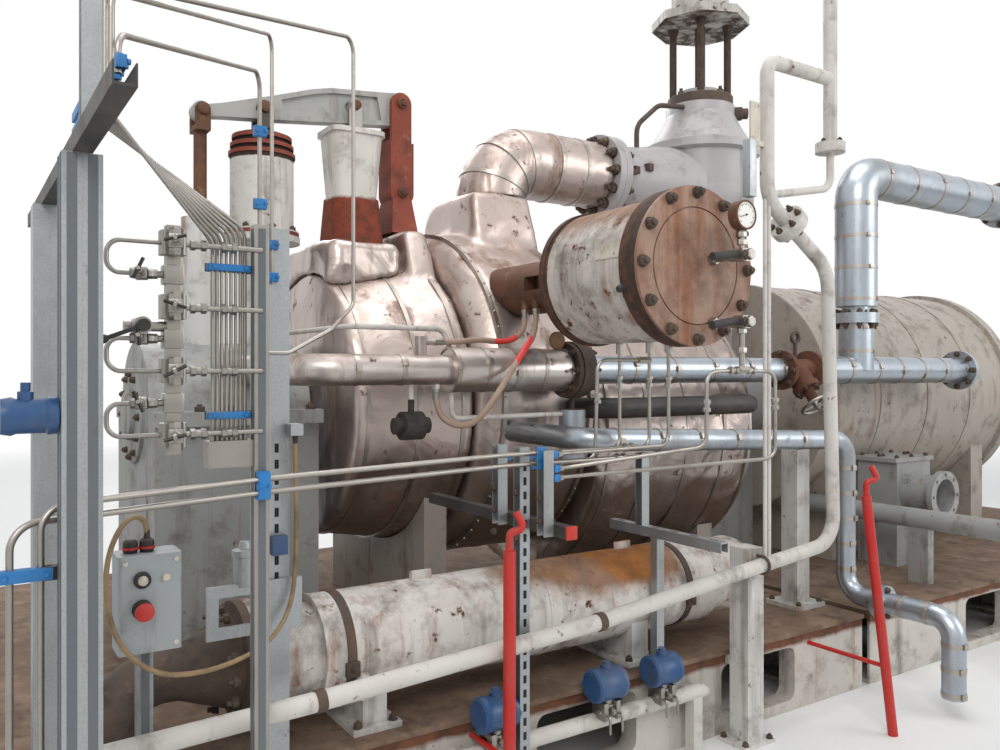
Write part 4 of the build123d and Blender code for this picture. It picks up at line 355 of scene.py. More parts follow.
MATERIALS = (
    (cladding, (  # base, roughness, wear, grime, relief
        ("clad", "clad_aluminium", (188, 175, 169), 0.32, 0.52, 0.55),
        ("clad_dark", "clad_foil_dull", (186, 175, 169), 0.29, 0.4, 0.6, 1.8))),
    (galvanised, (  # base, roughness
        ("galv", "galvanised_sheet", (166, 175, 184), 0.32),
        ("strut", "galvanised_strut", (158, 162, 164), 0.42))),
    (metal, (  # base, roughness, stain
        ("band", "strap_band", (176, 168, 160), 0.36),
        ("tube", "stainless_tube", (160, 155, 148), 0.38),
        ("steel", "machined_steel", (156, 152, 146), 0.34),
        ("dark_steel", "oiled_steel", (84, 80, 76), 0.42, 0.62),
        ("fitting", "black_fitting", (62, 60, 58), 0.45))),
    (painted, (  # base, wear, roughness, rust on top, scale
        ("white", "white_paint", (208, 206, 202), 0.45, 0.5, 0.3),
        ("cream", "cream_paint", (206, 200, 184), 0.5),
        ("grey", "grey_paint", (154, 156, 154), 0.35),
        ("lever", "lever_paint", (170, 170, 166), 0.3),
        ("beige", "machine_paint", (170, 162, 152), 0.35, 0.42, 0.25),
        ("valve", "valve_paint", (176, 172, 173), 0.12, 0.34, 0.3, 0.8),
        ("line", "line_paint", (206, 202, 196), 0.32),
        ("red", "red_paint", (190, 32, 26), 0.1, 0.42),
        ("blue", "blue_paint", (28, 76, 124), 0.3, 0.35),
        ("clamp", "blue_clamp", (26, 118, 184), 0.0, 0.42),
        ("box", "box_paint", (160, 166, 168), 0.3),
        ("black", "black_paint", (44, 42, 42), 0.2),
        ("slot", "slot_shadow", (30, 28, 28), -0.4, 0.9),
        # Strips over the struts' channel mouths: painted shade.
        ("groove", "strut_groove", (98, 104, 108), -0.3, 0.7),
        ("rubber", "black_rubber", (34, 34, 34), 0.0, 0.6),
        ("dial", "dial_face", (236, 234, 228), -0.4, 0.4),
        ("ink", "dial_ink", (24, 24, 26), 0.0, 0.5))),
    (rusty, (  # base, light patches, dark patches, roughness, shine
        ("deck", "deck_plate", (112, 90, 74), (148, 128, 108), (70, 56, 48)),
        ("oxide", "red_oxide", (126, 54, 34), (148, 70, 42), (90, 42, 30), 0.62),
        ("rust", "rusty_iron", (96, 60, 44), (122, 78, 56), (56, 40, 33)),
        ("brown", "brown_iron", (98, 66, 48), (128, 86, 60), (60, 42, 34), 0.7, 0.2),
        ("cast", "dark_iron", (84, 72, 64), (112, 88, 70), (50, 42, 38), 0.7, 0.3),
        ("wood", "brown_disc", (120, 88, 62), (146, 110, 78), (84, 60, 44), 0.7))))
M = {key: make(*row).done() for make, rows in MATERIALS for key, *row in rows}

m = cladding("clad_pipe_jacket", (208, 203, 199), 0.30, 0.5, 0.9, 0.5)
m.wash(m.along("Z", 1.50, 1.47), (66, 60, 56), (44, 40, 38), 9.0, 0.05, metal=0.1)
M["clad_pipe"] = m.done()

m = painted("cylinder_paint", (206, 200, 192), 0.7, top=0.5)
m.wash(m.math("MULTIPLY", m.upward(0.3, 0.95), 0.95), (150, 118, 90), (112, 74, 50), 5.0, 0.14, 0.85)
m.wash(m.math("MAXIMUM", m.along("Y", -1.775, -1.80), m.along("Y", -1.345, -1.315)),
       (96, 66, 50), (58, 42, 34), 9.0, 0.06)
M["cylinder"] = m.done()

m = painted("servo_paint", (212, 209, 202), 0.4)
m.wash(m.along("Z", 2.60, 2.63), (72, 48, 40), (46, 34, 30), 9.0, 0.04)
M["servo"] = m.done()

m = painted("yoke_paint", (192, 188, 182), 0.5, top=0.3)
m.wash(m.along("Z", 3.935, 3.925), (92, 76, 66), (64, 52, 46), 9.0, 0.04, metal=0.2)
M["yoke"] = m.done()

m = rusty("trip_cover_face", (156, 126, 108), (180, 150, 130), (116, 84, 66), 0.55, scale=0.8)
m.layer((150, 84, 44), 7.0, 0.55, 0.08, 0.7, stretch=(1.3, 1.3, 0.12), amount=0.75, color2=(112, 62, 38))
m.layer((88, 58, 42), 5.0, 0.57, 0.10, 0.7, amount=0.7)
m.wash(m.along("Y", -1.878, -1.868), (74, 52, 42), (48, 36, 30), 9.0, 0.05)
M["cover"] = m.done()

m = painted("column_paint", (218, 214, 206), 0.25)
m.wash(m.along("Z", 2.54, 2.42), (134, 58, 34), (94, 46, 32), 7.0, 0.06)
M["column"] = m.done()

m = painted("vessel_paint", (212, 207, 201), 0.6, top=0.4)
m.wash(m.math("MULTIPLY", m.math("MULTIPLY", m.upward(-0.2, 0.9), m.along("X", -2.7, -2.0)),
              m.along("X", -1.44, -1.52)), (156, 110, 72), (118, 78, 52), 3.5, 0.12, 0.85)
m.wash(m.math("MULTIPLY", m.math("MULTIPLY", m.along("X", -2.05, -1.8), m.along("X", -1.45, -1.65)),
              m.upward(0.1, 0.8)), (176, 112, 40), (140, 84, 36), 5.0, 0.10, 0.8)
M["vessel"] = m.done()

m = painted("skid_paint", (200, 195, 187), 0.45)
m.wash(m.along("Z", 0.27, 0.345), (120, 76, 50), (84, 56, 42), 5.0, 0.10)
M["skid"] = m.done()

m = Mat("hose_braid", (178, 154, 136), 0.7, 0.1, 0.12, 14)
uv = m.node("SeparateXYZ", m.node("TexCoord").outputs["UV"]).outputs
for turns in (7.0, -7.0):
    around = m.node("Math", uv[1], turns, operation="MULTIPLY")
    lay = m.node("Math", uv[0], 160.0, around, operation="MULTIPLY_ADD")
    wave = m.node("Math", lay, 0.5, operation="PINGPONG").outputs[0]
    m.bump(wave, 0.5, 0.002)
    # Where the weave sinks the braid is darker: painted shade between the strands.
    m.color = m.mix(m.scaled(wave, 0.0, 0.12, 0.5, 0), m.color, (96, 74, 60))
m.wash(m.math("MULTIPLY", m.along("X", -2.18, -2.16), m.along("X", -2.02, -2.045)), (232, 62, 60), None,
       20.0, 0.05, 0.95, 0.5)
M["braid"] = m.done()

m = Mat("cable_sheath", (150, 126, 92), 0.5, 0.0, 0.1, 9)
m.layer((74, 58, 44), 12, 0.56, 0.1, 0.7, amount=0.7)
m.bump(m.noise(120, 3), 0.15, 0.001)
M["sheath"] = m.done()


# ---- geometry helpers
def turned(axis, up=AZ):
    """A turn whose Z axis points along axis."""
    z = Vector(axis).normalized()
    if abs(up.normalized().dot(z)) > 0.98:
        up = AX
    x = (up - z * up.dot(z)).normalized()
    return Matrix((x, z.cross(x), z)).transposed()


def frame_at(origin, axis):
    """A matrix at a point with its Z axis along axis."""
    return Matrix.Translation(origin) @ turned(axis).to_4x4()


def spread(count):
    """Even angles round a circle."""
    return [2 * math.pi * k / count for k in range(count)]


def polar(radius, angle, height=0):
    return Vector((radius * math.cos(angle), radius * math.sin(angle), height))


def skin(bm, rings, caps=True, loop=False):
    """Faces between rings of vertices, closed by caps or by a last band back to the first ring."""
    seg = len(rings[0])
    for a, b in zip(rings, rings[1:] + rings[:1] if loop else rings[1:]):
        for k in range(seg):
            bm.faces.new((a[k], a[(k + 1) % seg], b[(k + 1) % seg], b[k]))
    if caps and not loop:
        bm.faces.new(list(reversed(rings[0])))
        bm.faces.new(rings[-1])


def revolve(bm, matrix, profile, seg, loop=False):
    """Revolve (height, radius) pairs about a matrix's Z axis."""
    skin(bm, [[bm.verts.new(matrix @ polar(r, a, h)) for a in spread(seg)] for h, r in profile], loop=loop)


def lathe(bm, origin, axis, profile, seg, loop=False):
    """Revolve (height, radius) pairs to a capped solid, or a loop of them to a ring."""
    revolve(bm, frame_at(origin, axis), profile, seg, loop)


def collar(bm, origin, axis, inner, outer, height, seg):
    """A ring of square section."""
    lathe(bm, origin, axis, [(0, inner), (0, outer), (height, outer), (height, inner)], seg, loop=True)


def disc(bm, origin, axis, radius, height, chamfer, rise, seg):
    """A round boss or pin end with its edge turned off."""
    lathe(bm, origin, axis, [(0, radius), (height, radius), (height + rise, radius - chamfer)], seg)


def box(bm, center, size, turn=Matrix.Identity(3), bevel=0.0):
    made = bmesh.ops.create_cube(bm, size=1.0)
    m = Matrix.Translation(center) @ turn.to_4x4() @ Matrix.Diagonal((*size, 1))
    bmesh.ops.transform(bm, matrix=m, verts=made["verts"])
    if bevel:
        edges = list({e for v in made["verts"] for e in v.link_edges})
        bmesh.ops.bevel(bm, geom=edges, offset=bevel, segments=2, affect="EDGES", profile=0.6)


def hexagon(bm, origin, axis, flats, height, spin=0.0):
    """A six-sided nut or bolt head with a turned-off top."""
    r = flats / math.sqrt(3)
    revolve(bm, frame_at(origin, axis) @ Matrix.Rotation(spin, 4, "Z"),
            [(0, r), (height * 0.85, r), (height, r * 0.88)], 6)


def bolt(bm, origin, axis, size, stud=0.35, spin=0.0):
    """Washer, nut and stud end of a bolt of this diameter."""
    z = axis.normalized()
    lathe(bm, origin, axis, [(0, size * 1.05), (size * 0.16, size * 1.05)], 14)
    hexagon(bm, origin + z * size * 0.16, axis, size * 1.65, size * 0.85, spin)
    if stud:
        lathe(bm, origin + z * size, axis, [(0, size * 0.5), (size * stud, size * 0.5),
                                            (size * (stud + 0.08), size * 0.42)], 10)


def bolt_circle(bm, origin, axis, radius, count, size, stud=0.35, start=0.0):
    """Bolts round a flange, each nut at an angle of its own."""
    m = frame_at(origin, axis)
    for a in spread(count):
        bolt(bm, m @ polar(radius, start + a), axis, size, stud, random.uniform(0, 1))


def rounded(points, bend):
    """A route's points with its corners turned into arcs."""
    out = [points[0]]
    for a, b, c in zip(points, points[1:], points[2:]):
        u, v = (a - b), (c - b)
        lu, lv = u.length, v.length
        u.normalize()
        v.normalize()
        half = u.angle(v) / 2
        cut = min(bend / math.tan(half), 0.48 * lu, 0.48 * lv) if half < 1.56 else 0
        if cut <= 1e-5:
            out.append(b)
            continue
        centre = b + (u + v).normalized() * (cut * math.tan(half) / math.sin(half))
        s, t = (b + u * cut - centre), (b + v * cut - centre)
        total = s.angle(t)
        axis = s.cross(t).normalized()
        n = max(2, int(7 * total / 1.57) + 1)
        out += [centre + Matrix.Rotation(total * k / n, 3, axis) @ s for k in range(n + 1)]
    return out + [points[-1]]


def sweep(bm, path, radii, seg=12, caps=True):
    """A round bar along a path, with a radius for each of its points."""
    ends = zip(path[1:] + path[-1:], path[:1] + path[:-1])
    tangents = [(after - before).normalized() for after, before in ends]
    t = tangents[0]
    n = t.orthogonal().normalized()
    rings = []
    for p, tangent, r in zip(path, tangents, radii):
        n = (t.rotation_difference(tangent) @ n).normalized()
        t = tangent
        b = t.cross(n)
        rings.append([bm.verts.new(p + (n * math.cos(a) + b * math.sin(a)) * r) for a in spread(seg)])
    skin(bm, rings, caps)


def tube(bm, points, radius, bend=0.04, seg=12):
    """A round bar along a route with bent corners."""
    path = rounded(points, bend)
    sweep(bm, path, [radius] * len(path), seg)


def piece(name, bm, mat, body="root", replaces=None):
    """Make one object from a filled bmesh."""
    bmesh.ops.recalc_face_normals(bm, faces=bm.faces)
    mesh = bpy.data.meshes.new(name)
    bm.to_mesh(mesh)
    bm.free()
    mesh.polygons.foreach_set("use_smooth", [True] * len(mesh.polygons))
    mesh.set_sharp_from_angle(angle=math.radians(35))
    mesh.materials.append(M[mat])
    o = add_object(name, mesh)
    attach(o, body)
    if replaces:
        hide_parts(replaces)
    return o


def crumpled(node, name, mat, voxel, dents, easing, ripple=0.001):
    """A finer copy of a jacket's solid, with the broad dents and ridges of thin sheet."""
    o = add_object(name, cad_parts[node].data.copy())
    fine = o.modifiers.new("fine", "REMESH")
    fine.mode = "VOXEL"
    fine.voxel_size = voxel
    ease = o.modifiers.new("ease", "SMOOTH")
    ease.factor = 0.5
    ease.iterations = easing
    mesh = bpy.data.meshes.new_from_object(o.evaluated_get(bpy.context.evaluated_depsgraph_get()))
    o.modifiers.clear()
    o.data = mesh
    mesh.name = name
    for v, n in zip(mesh.vertices, [v.normal.copy() for v in mesh.vertices]):
        p = v.co.copy()
        low = noise.noise(p * 1.7 + Vector((3.1, 7.7, 1.3)))
        fold = 1 - 2.4 * abs(noise.noise(p * 3.4 + Vector((9.0, 2.0, 4.0))))
        v.co = p + n * (dents * (0.5 * low + 0.5 * fold - 0.45) + ripple * noise.noise(p * 13.0))
    mesh.polygons.foreach_set("use_smooth", [True] * len(mesh.polygons))
    mesh.materials.clear()
    mesh.materials.append(M[mat])
    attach(o, "root")
    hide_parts(node)


def strap(bm, origin, axis, radius, width=0.022, proud=0.003, deep=0.016, seg=64):
    """A strap round a jacket: a ring that reaches into it."""
    axis = Vector(axis).normalized()
    collar(bm, origin - axis * width / 2, axis, radius - deep, radius + proud, width, seg)


def bands(bm, start, end, radius, pitch):
    """Straps at even steps along a clad pipe, each with its clip."""
    width, proud = 0.02, 0.0025
    axis = (end - start).normalized()
    count = max(1, round((end - start).length / pitch))
    for k in range(count + 1):
        p = start + (end - start) * k / count
        strap(bm, p, axis, radius, width, proud, 0.006, 40)
        side = axis.cross(AZ) if abs(axis.z) < 0.7 else -AY
        out = Matrix.Rotation(random.uniform(-0.5, 0.5), 3, axis) @ side.normalized()
        box(bm, p + out * (radius + proud + 0.003), (width * 1.3, 0.03, 0.008), turned(out, axis), 0.0015)


def rivets(bm, origin, axis, radius, count, size=0.006):
    """Rivet heads round a jacket."""
    for a in spread(count):
        out = turned(axis) @ polar(1, a)
        lathe(bm, origin + out * (radius - 0.004), out,
              [(0, size), (0.006, size * 0.9), (0.008, size * 0.5)], 8)


def fitting(bm, p, z, d):
    """A compression fitting on a small tube along z: two nuts on a collar."""
    hexagon(bm, p - z * d * 1.5, z, d * 1.8, d)
    lathe(bm, p - z * d * 0.6, z, [(0, d * 0.75), (d * 1.2, d * 0.75)], 14)
    hexagon(bm, p + z * d * 0.5, z, d * 1.8, d)


def clamp(bm, p, size, turn):
    """A moulded tube clamp: two halves with their bolts on one side."""
    sx, sy, sz = size
    box(bm, p, (sx, sy * 0.48, sz), turn, 0.003)
    box(bm, p - turn @ Vector((0, sy * 0.27, 0)), (sx * 0.96, sy * 0.46, sz * 0.94), turn, 0.003)
    for side in (-1, 1):
        q = p + turn @ Vector((side * sx * 0.36, -sy * 0.5, 0))
        hexagon(bm, q, turn @ -AY, 0.010, 0.006)


def needle_valve(steel, dark, p, out, along, d, body):
    """A small block valve: end nuts along the tube, bonnet, stem and bar handle facing out."""
    out = Vector(out).normalized()
    box(steel, p, (body, body, body), turned(out, along), 0.003)
    for side in (-1, 1):
        hexagon(steel, p + along * side * body / 2, along * side, d * 1.9, d * 1.1)
    hexagon(steel, p + out * body / 2, out, body * 0.72, 0.012)
    lathe(steel, p + out * (body / 2 + 0.012), out,
          [(0, 0.008), (0.022, 0.008), (0.023, 0.005), (0.045, 0.005)], 12)
    bar = out.cross(along).normalized() * 0.026 + along * random.uniform(-0.015, 0.015)
    tip = p + out * (body / 2 + 0.052)
    tube(dark, [tip - bar, tip + bar], 0.0045, seg=8)


# ---- floor
floor_bm = bmesh.new()
bmesh.ops.create_circle(floor_bm, cap_ends=True, segments=64, radius=60)
floor_mesh = bpy.data.meshes.new("floor")
floor_bm.to_mesh(floor_mesh)
floor_bm.free()
ground = Mat("floor_pale", (0.84, 0.84, 0.83, 1), 0.7, 0.0, 0.02, 0.8)
ground.done()
distance = ground.node("VectorMath", ground.space, operation="LENGTH").outputs["Value"]
far = ground.scaled(distance, 7.0, 16.0, 0, 1)
seen = ground.node("LightPath").outputs["Is Camera Ray"]
fade = ground.node("MixShader", ground.math("MULTIPLY", far, seen), ground.bsdf, ground.node("Emission"))
feed(ground.tree, ground.tree.nodes["Material Output"].inputs["Surface"], fade)
floor_mesh.materials.append(ground.m)
floor = add_object("floor", floor_mesh)
floor.location.z = -0.001


# ---- cords
def cord(name, node, points, diameter, mat, ferrule):
    """A cord on one smooth curve, with its end ferrules."""
    curve = bpy.data.curves.new(name, "CURVE")
    curve.dimensions = "3D"
    spline = curve.splines.new("NURBS")
    spline.points.add(len(points) - 1)
    pts = [mm(*p) for p in points]
    for q, p in zip(spline.points, pts):
        q.co = (*p, 1)
    spline.order_u = 3
    spline.use_endpoint_u = True
    curve.resolution_u = 24
    curve.bevel_depth = diameter / 2
    curve.bevel_resolution = 5
    curve.use_fill_caps = True
    curve.materials.append(M[mat])
    o = add_object(name, curve)
    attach(o, "root")
    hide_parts(node)
    ends = bmesh.new()
    r = diameter / 2
    for p, q in ((pts[0], pts[1]), (pts[-1], pts[-2])):
        lathe(ends, p, q - p, [(0, r * 1.28), (ferrule * 0.3, r * 1.28), (ferrule * 0.34, r * 1.12),
                               (ferrule * 0.9, r * 1.12), (ferrule, r * 1.02)], 20)
    caps = piece(name + "_ends", ends, "steel" if ferrule > 0.03 else "rubber")


cord("hose_upper", "braided_hose_upper",
     [(-1974.4, -909, 1880), (-1974.4, -909, 1800), (-2035, -920, 1745), (-2130, -935, 1728),
      (-2260, -965, 1738), (-2380, -1000, 1722), (-2500, -1000, 1722)],
     0.026, "braid", 0.045)
cord("hose_lower", "braided_hose_lower",
     [(-1974.4, -995, 1880), (-1974.4, -995, 1772), (-2120, -1110, 1690), (-2235, -1142, 1560),
      (-2330, -1142, 1438), (-2377, -1100, 1375), (-2443, -1042, 1375), (-2490, -1000, 1438),
      (-2490, -1000, 1525)],
     0.026, "braid", 0.045)
cord("box_cable_sheath", "box_cable",
     [(-3738, -1640, 1144), (-3738, -1640, 1204), (-3800, -1690, 1215), (-3850, -1725, 1130),
      (-3856, -1735, 1010), (-3825, -1742, 890), (-3735, -1738, 800), (-3610, -1700, 770),
      (-3480, -1640, 768), (-3370, -1580, 790), (-3300, -1545, 870), (-3284, -1541, 1000),
      (-3282, -1541, 1140), (-3286, -1541, 1280), (-3286, -1541, 1400)],
     0.014, "sheath", 0.025)

# ---- finishes of the solids that stay
FINISH = {
    "skid": "skid_side_beams skid_cross_beams", "deck": "skid_decks",
    "grey": "front_pedestal coupling_guard cooling_pipe oil_box",
    "white": "servo_stand feedback_cup pipe_posts vessel_saddles", "servo": "servo_cylinder",
    "cylinder": "trip_cylinder_shell", "dark_steel": "servo_rod", "lever": "governor_lever",
    "oxide": "anchor_link", "brown": "feedback_link trip_cylinder_neck", "column": "valve_column",
    "steel": "valve_spindle gate_handwheel",
    "beige": "compressor_barrel compressor_end_cover machine_supports stop_valve_support",
    "cast": "pipe_joint vessel_inlet", "valve": "stop_valve_body inlet_flanges", "yoke": "valve_yoke",
    "cover": "trip_cylinder_cover", "tube": "impulse_tubes tube_bundle hoop_tubes tube_pair manifold",
    "clad_pipe": "clad_pipe_left", "galv": "clad_pipe_middle clad_pipe_right clad_riser drain_pipe",
    "rust": "gate_valve", "black": "dark_pipe black_channels valve_handle",
    "line": "steam_line transmitters", "red": "standpipes", "vessel": "vessel_shell",
    "strut": "rack_columns front_struts", "box": "junction_box",
}
for key, names in FINISH.items():
    for node in names.split():
        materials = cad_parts[node].data.materials
        materials.clear()
        materials.append(M[key])

# ---- jackets
crumpled("casing_cladding", "casing_jacket", "clad", 0.017, 0.013, 45)
crumpled("governor_end_cladding", "governor_end_jacket", "clad", 0.018, 0.012, 16)
crumpled("exhaust_cladding", "exhaust_jacket", "clad_dark", 0.020, 0.022, 10, 0.004)
crumpled("inlet_elbow", "inlet_elbow_jacket", "clad", 0.011, 0.005, 3)
crumpled("steam_chest", "chest_blankets", "clad_dark", 0.015, 0.020, 14, 0.004)

CASING_Z, EXHAUST_Z, GOVERNOR_Z = 1480, 1270, 1440
ELBOW_X, ELBOW_Z, ELBOW_BEND = -1345, 2575, 235
straps = bmesh.new()
for x in (-2040, -1530):
    strap(straps, mm(x, 0, CASING_Z), AX, 0.850)
    rivets(straps, mm(x, 0, CASING_Z), AX, 0.855, 64)
for x in (-1370, -1110, -820, -530, -322):
    strap(straps, mm(x, 0, EXHAUST_Z), AX, 0.800)
for x, r in ((-2630, 0.6507), (-2400, 0.692), (-2190, 0.729)):
    strap(straps, mm(x, 0, GOVERNOR_Z), AX, r)
for a in (20, 48, 76):
    c, s = math.cos(math.radians(a)), math.sin(math.radians(a))
    strap(straps, mm(ELBOW_X - ELBOW_BEND * c, 0, ELBOW_Z + ELBOW_BEND * s), (s, 0, c), 0.200)
for x in (-1200, -1010, -850):
    strap(straps, inlet(x), AX, 0.200)
    rivets(straps, inlet(x), AX, 0.202, 24, 0.004)
piece("jacket_straps", straps, "band")

# ---- clad pipe straps
CLAD_RUNS = (  # start, end, radius, pitch of the straps
    (front_pipe(-2425), front_pipe(-1835), 0.095, 0.145),
    (front_pipe(-2860), front_pipe(-2660), 0.0625, 0.200),
    (front_pipe(-1700), front_pipe(-340), 0.066, 0.270),
    (front_pipe(-30), front_pipe(250), 0.082, 0.280),
    (front_pipe(520), front_pipe(1480), 0.082, 0.240),
    (riser(1720), riser(1860), 0.098, 0.140),
    (riser(2030), riser(2590), 0.120, 0.185),
    (top_pipe(570), top_pipe(2030), 0.120, 0.290),
    (mm(-1850, -1385, 1312), mm(-420, -1385, 1249.5), 0.048, 0.240),
    (drain(-1385, 1100), drain(-1385, 580), 0.048, 0.130),
    (drain(-1700, 445), drain(-1830, 445), 0.053, 0.130),
    (drain(-1950, 330), drain(-1950, 100), 0.053, 0.115))
pipes = bmesh.new()
for run in CLAD_RUNS:
    bands(pipes, *run)
piece("pipe_straps", pipes, "band")

# ---- flange bolts
rise = mm(-412, 0, 270)
slope, joint = rise.normalized(), line(-850, 2060) + rise * 0.66
stem = Vector((0, -0.6, -0.8))
CORNERS = math.pi / 4
FLANGES = (  # centre, axis, radius, count, bolt, stud's height over its width, first angle
    (inlet(-721), AX, 0.215, 12, 0.030, 0.8),
    (inlet(-815), -AX, 0.215, 12, 0.030, 0.8),
    (stop_valve(3446), AZ, 0.180, 8, 0.024, 0.8),
    (stop_valve(3985), AZ, 0.180, 4, 0.036, 0.5, CORNERS),
    (stop_valve(3930), -AZ, 0.180, 4, 0.036, 0, CORNERS),
    (stop_valve(4015), AZ, 0.207, 8, 0.018),
    (trip(-1885.3), -AY, 0.270, 12, 0.022, 0.5),
    (trip(-1790), AY, 0.270, 12, 0.014, 0),
    (trip(-1283), -AY, 0.148, 8, 0.014, 0),
    (servo(2278), AZ, 0.160, 8, 0.016),
    (vessel(-3340), AX, 0.182, 16, 0.018, 0.8),
    (vessel(-3430.3), -AX, 0.182, 16, 0.018, 0.8),
    (riser(1945.3), AZ, 0.1075, 8, 0.018),
    (riser(1885), -AZ, 0.1075, 8, 0.018, 0.8),
    (top_pipe(2060), -AX, 0.140, 8, 0.018),
    (front_pipe(1500), -AX, 0.1075, 8, 0.018),
    (drain(-1614.3, 445), -AY, 0.065, 4, 0.014),
    (drain(-1570, 445), AY, 0.065, 4, 0.014, 0.8),
    (joint + slope * 0.026, slope, 0.062, 6, 0.014, 0.8),
    (joint - slope * 0.020, -slope, 0.062, 6, 0.014),
    (line(-830, 2634), AZ, 0.049, 4, 0.012),
    (line(-830, 3440), AZ, 0.045, 4, 0.012),
    (front_pipe(-313), -AX, 0.094, 8, 0.016),
    (front_pipe(-53), AX, 0.094, 8, 0.016),
    (front_pipe(-1824), -AX, 0.110, 8, 0.016, 0.8),
    (front_pipe(-1724), AX, 0.110, 8, 0.016, 0.8),
    (front_pipe(-183) + stem * 0.140, stem, 0.060, 6, 0.012),
    (mm(991, -864, 1050), AZ, 0.12, 4, 0.014),
    (mm(-3498, 0, 1400), -AX, 0.185, 12, 0.016),
    (barrel(2695), AX, 0.785, 36, 0.014),
    (barrel(3480), AX, 0.270, 12, 0.022))
BOLT_GRIDS = (  # X and Y values, height, bolt
    ((830, 1152), (-984, -864, -744), 1050, 0.014),
    ((-1366, -1214), (-1663.85, -1543.85), 14, 0.014),
    ((-522, -358), (-1284, -1116), 392, 0.014),
    ((-3026, -2894, -1806, -1674), (-1425, -1095), 390, 0.016),
    (range(-3430, -2829, 120), (-460, 460), 1430, 0.022))
dark = bmesh.new()
for flange in FLANGES:
    bolt_circle(dark, *flange)
for xs, ys, z, size in BOLT_GRIDS:
    for x in xs:
        for y in ys:
            bolt(dark, mm(x, y, z), AZ, size)
piece("flange_bolts", dark, "cast")
cover = bmesh.new()
disc(cover, mm(-3474, 0, 1400), -AX, 0.215, 0.020, 0.005, 0.004, 48)
disc(cover, mm(-3490, 0, 1400), -AX, 0.110, 0.030, 0.010, 0.006, 40)
piece("pedestal_cover", cover, "grey")

# ---- stop valve trim
trim = bmesh.new()
collar(trim, stop_valve(3378), AZ, 0.16, 0.2175, 0.066, 64)
tube(trim, [mm(-520, -60, 2990), mm(-520, -60, 3160), mm(-330, -60, 3320), mm(-110, -60, 3345)],
     0.016, 0.12)
for x, y, z in ((-655, -195, 2830), (-560, -212, 2856)):
    box(trim, mm(x, y, z), (0.046, 0.05, 0.046), Matrix.Rotation(0.15, 3, "Z"), 0.005)
lathe(trim, mm(290, -140, 3345), (0.8, -0.6, 0),
      [(0, 0.045), (0.05, 0.045), (0.055, 0.036), (0.09, 0.036)], 20)
for z in (3100, 3055):
    rivets(trim, stop_valve(z), AZ, 0.30, 1, 0.004)
piece("stop_valve_trim", trim, "cast")

# ---- lever gear trim
rings = bmesh.new()
for z, r in ((2262, 0.176), (2645, 0.158), (2685, 0.150), (2725, 0.142)):
    collar(rings, servo(z - 9), AZ, 0.10, r, 0.018, 48)
piece("servo_rings", rings, "oxide")
PINS = (  # body, X, Z, half the pin's length
    ("servo_rod", -2902.73, 2869.83, 73), ("valve_spindle", -2437.27, 2959.46, 73),
    ("root", -2180, 3009, 81), ("feedback_link", -3195.34, 2813.48, 73))
for body, x, z, reach in PINS:
    caps = bmesh.new()
    for side in (-1, 1):
        disc(caps, mm(x, side * (reach - 8), z), AY * side, 0.026, 0.010, 0.006, 0.004, 24)
        tube(caps, [mm(x - 16, side * (reach + 1), z), mm(x + 16, side * (reach + 1), z)], 0.003, seg=8)
    piece("pin_caps_" + body, caps, "brown", body)
link = bmesh.new()
disc(link, mm(-2180, -50, 2537), -AY, 0.026, 0.034, 0.006, 0.004, 24)
hexagon(link, mm(-2180, -88, 2537), -AY, 0.026, 0.012)
piece("link_bolts", link, "brown")

# ---- trip cylinder trim
patch = bmesh.new()
for y, first in ((-1700, 0.12), (-1790, -0.32)):
    for k in range(6):
        a = math.pi + first + k * 0.035
        out = Vector((math.cos(a), 0, -math.sin(a)))
        box(patch, trip(y) + out * 0.274, (0.13, 0.0102, 0.005), turned(out, AY))
piece("shell_plates", patch, "cream")
black = bmesh.new()
for z in (2015, 1776):
    tube(black, [mm(-1828, -2027.3, z), mm(-1858, -2027.3, z), mm(-1962, -2030, z - 16)], 0.0145, 0.03, 16)
disc(black, mm(-2146, -1800, 1905), (-1, 0, -0.3), 0.014, 0.045, 0.003, 0.005, 16)
piece("valve_sleeves", black, "rubber")
gauge = mm(-1808, -2045.3, 2157)
rim = bmesh.new()
lathe(rim, gauge + AY * 0.037, -AY,
      [(0, 0.040), (0, 0.053), (0.040, 0.053), (0.042, 0.047), (0.036, 0.046)], 48, loop=True)
piece("gauge_rim", rim, "brown")
face = bmesh.new()
lathe(face, gauge + AY * 0.003, -AY, [(0, 0.046), (0.0045, 0.046)], 48)
piece("gauge_dial", face, "dial")
ink = bmesh.new()
for k in range(41):
    a = math.radians(-135 + 270 * k / 40)
    out = Vector((math.sin(a), 0, math.cos(a)))
    long, thick = (0.008, 0.0016) if k % 5 == 0 else (0.004, 0.0008)
    box(ink, gauge - AY * 0.0018 + out * (0.041 - long / 2), (0.0006, thick, long), turned(out, AY))
needle = Vector((math.sin(-1.9), 0, math.cos(-1.9)))
box(ink, gauge - AY * 0.0030 + needle * 0.012, (0.0008, 0.0022, 0.044), turned(needle, AY))
lathe(ink, gauge - AY * 0.001, -AY, [(0, 0.004), (0.004, 0.003)], 16)
piece("gauge_marks", ink, "ink")

# ---- small tube fittings and valves
steel, dark, blue = bmesh.new(), bmesh.new(), bmesh.new()
for z in (2015, 1776):
    for y, flats, height in ((-1886, 0.040, 0.024), (-2055, 0.036, 0.020), (-1975, 0.034, 0.022)):
        hexagon(steel, mm(-1808, y, z), -AY, flats, height)
for z in (1735, 1665, 2052, 2080):
    hexagon(steel, mm(-1808, -2027.3, z), AZ, 0.030, 0.020)
for side in (-1, 1):
    fitting(steel, mm(-1808 + side * 45, -2027.3, 1602), AX, 0.014)
    fitting(steel, mm(-1808 + side * 180, -2027.3, 1480), AZ, 0.014)
for y in (-1740, -1635, -1460):
    fitting(steel, mm(-1888, y, 1560), AZ, 0.014)
fitting(steel, mm(-2150, -1635, 1500), AZ, 0.014)
STRAIGHT, QUARTER = Matrix.Identity(3), Matrix.Rotation(math.pi / 2, 3, "Z")
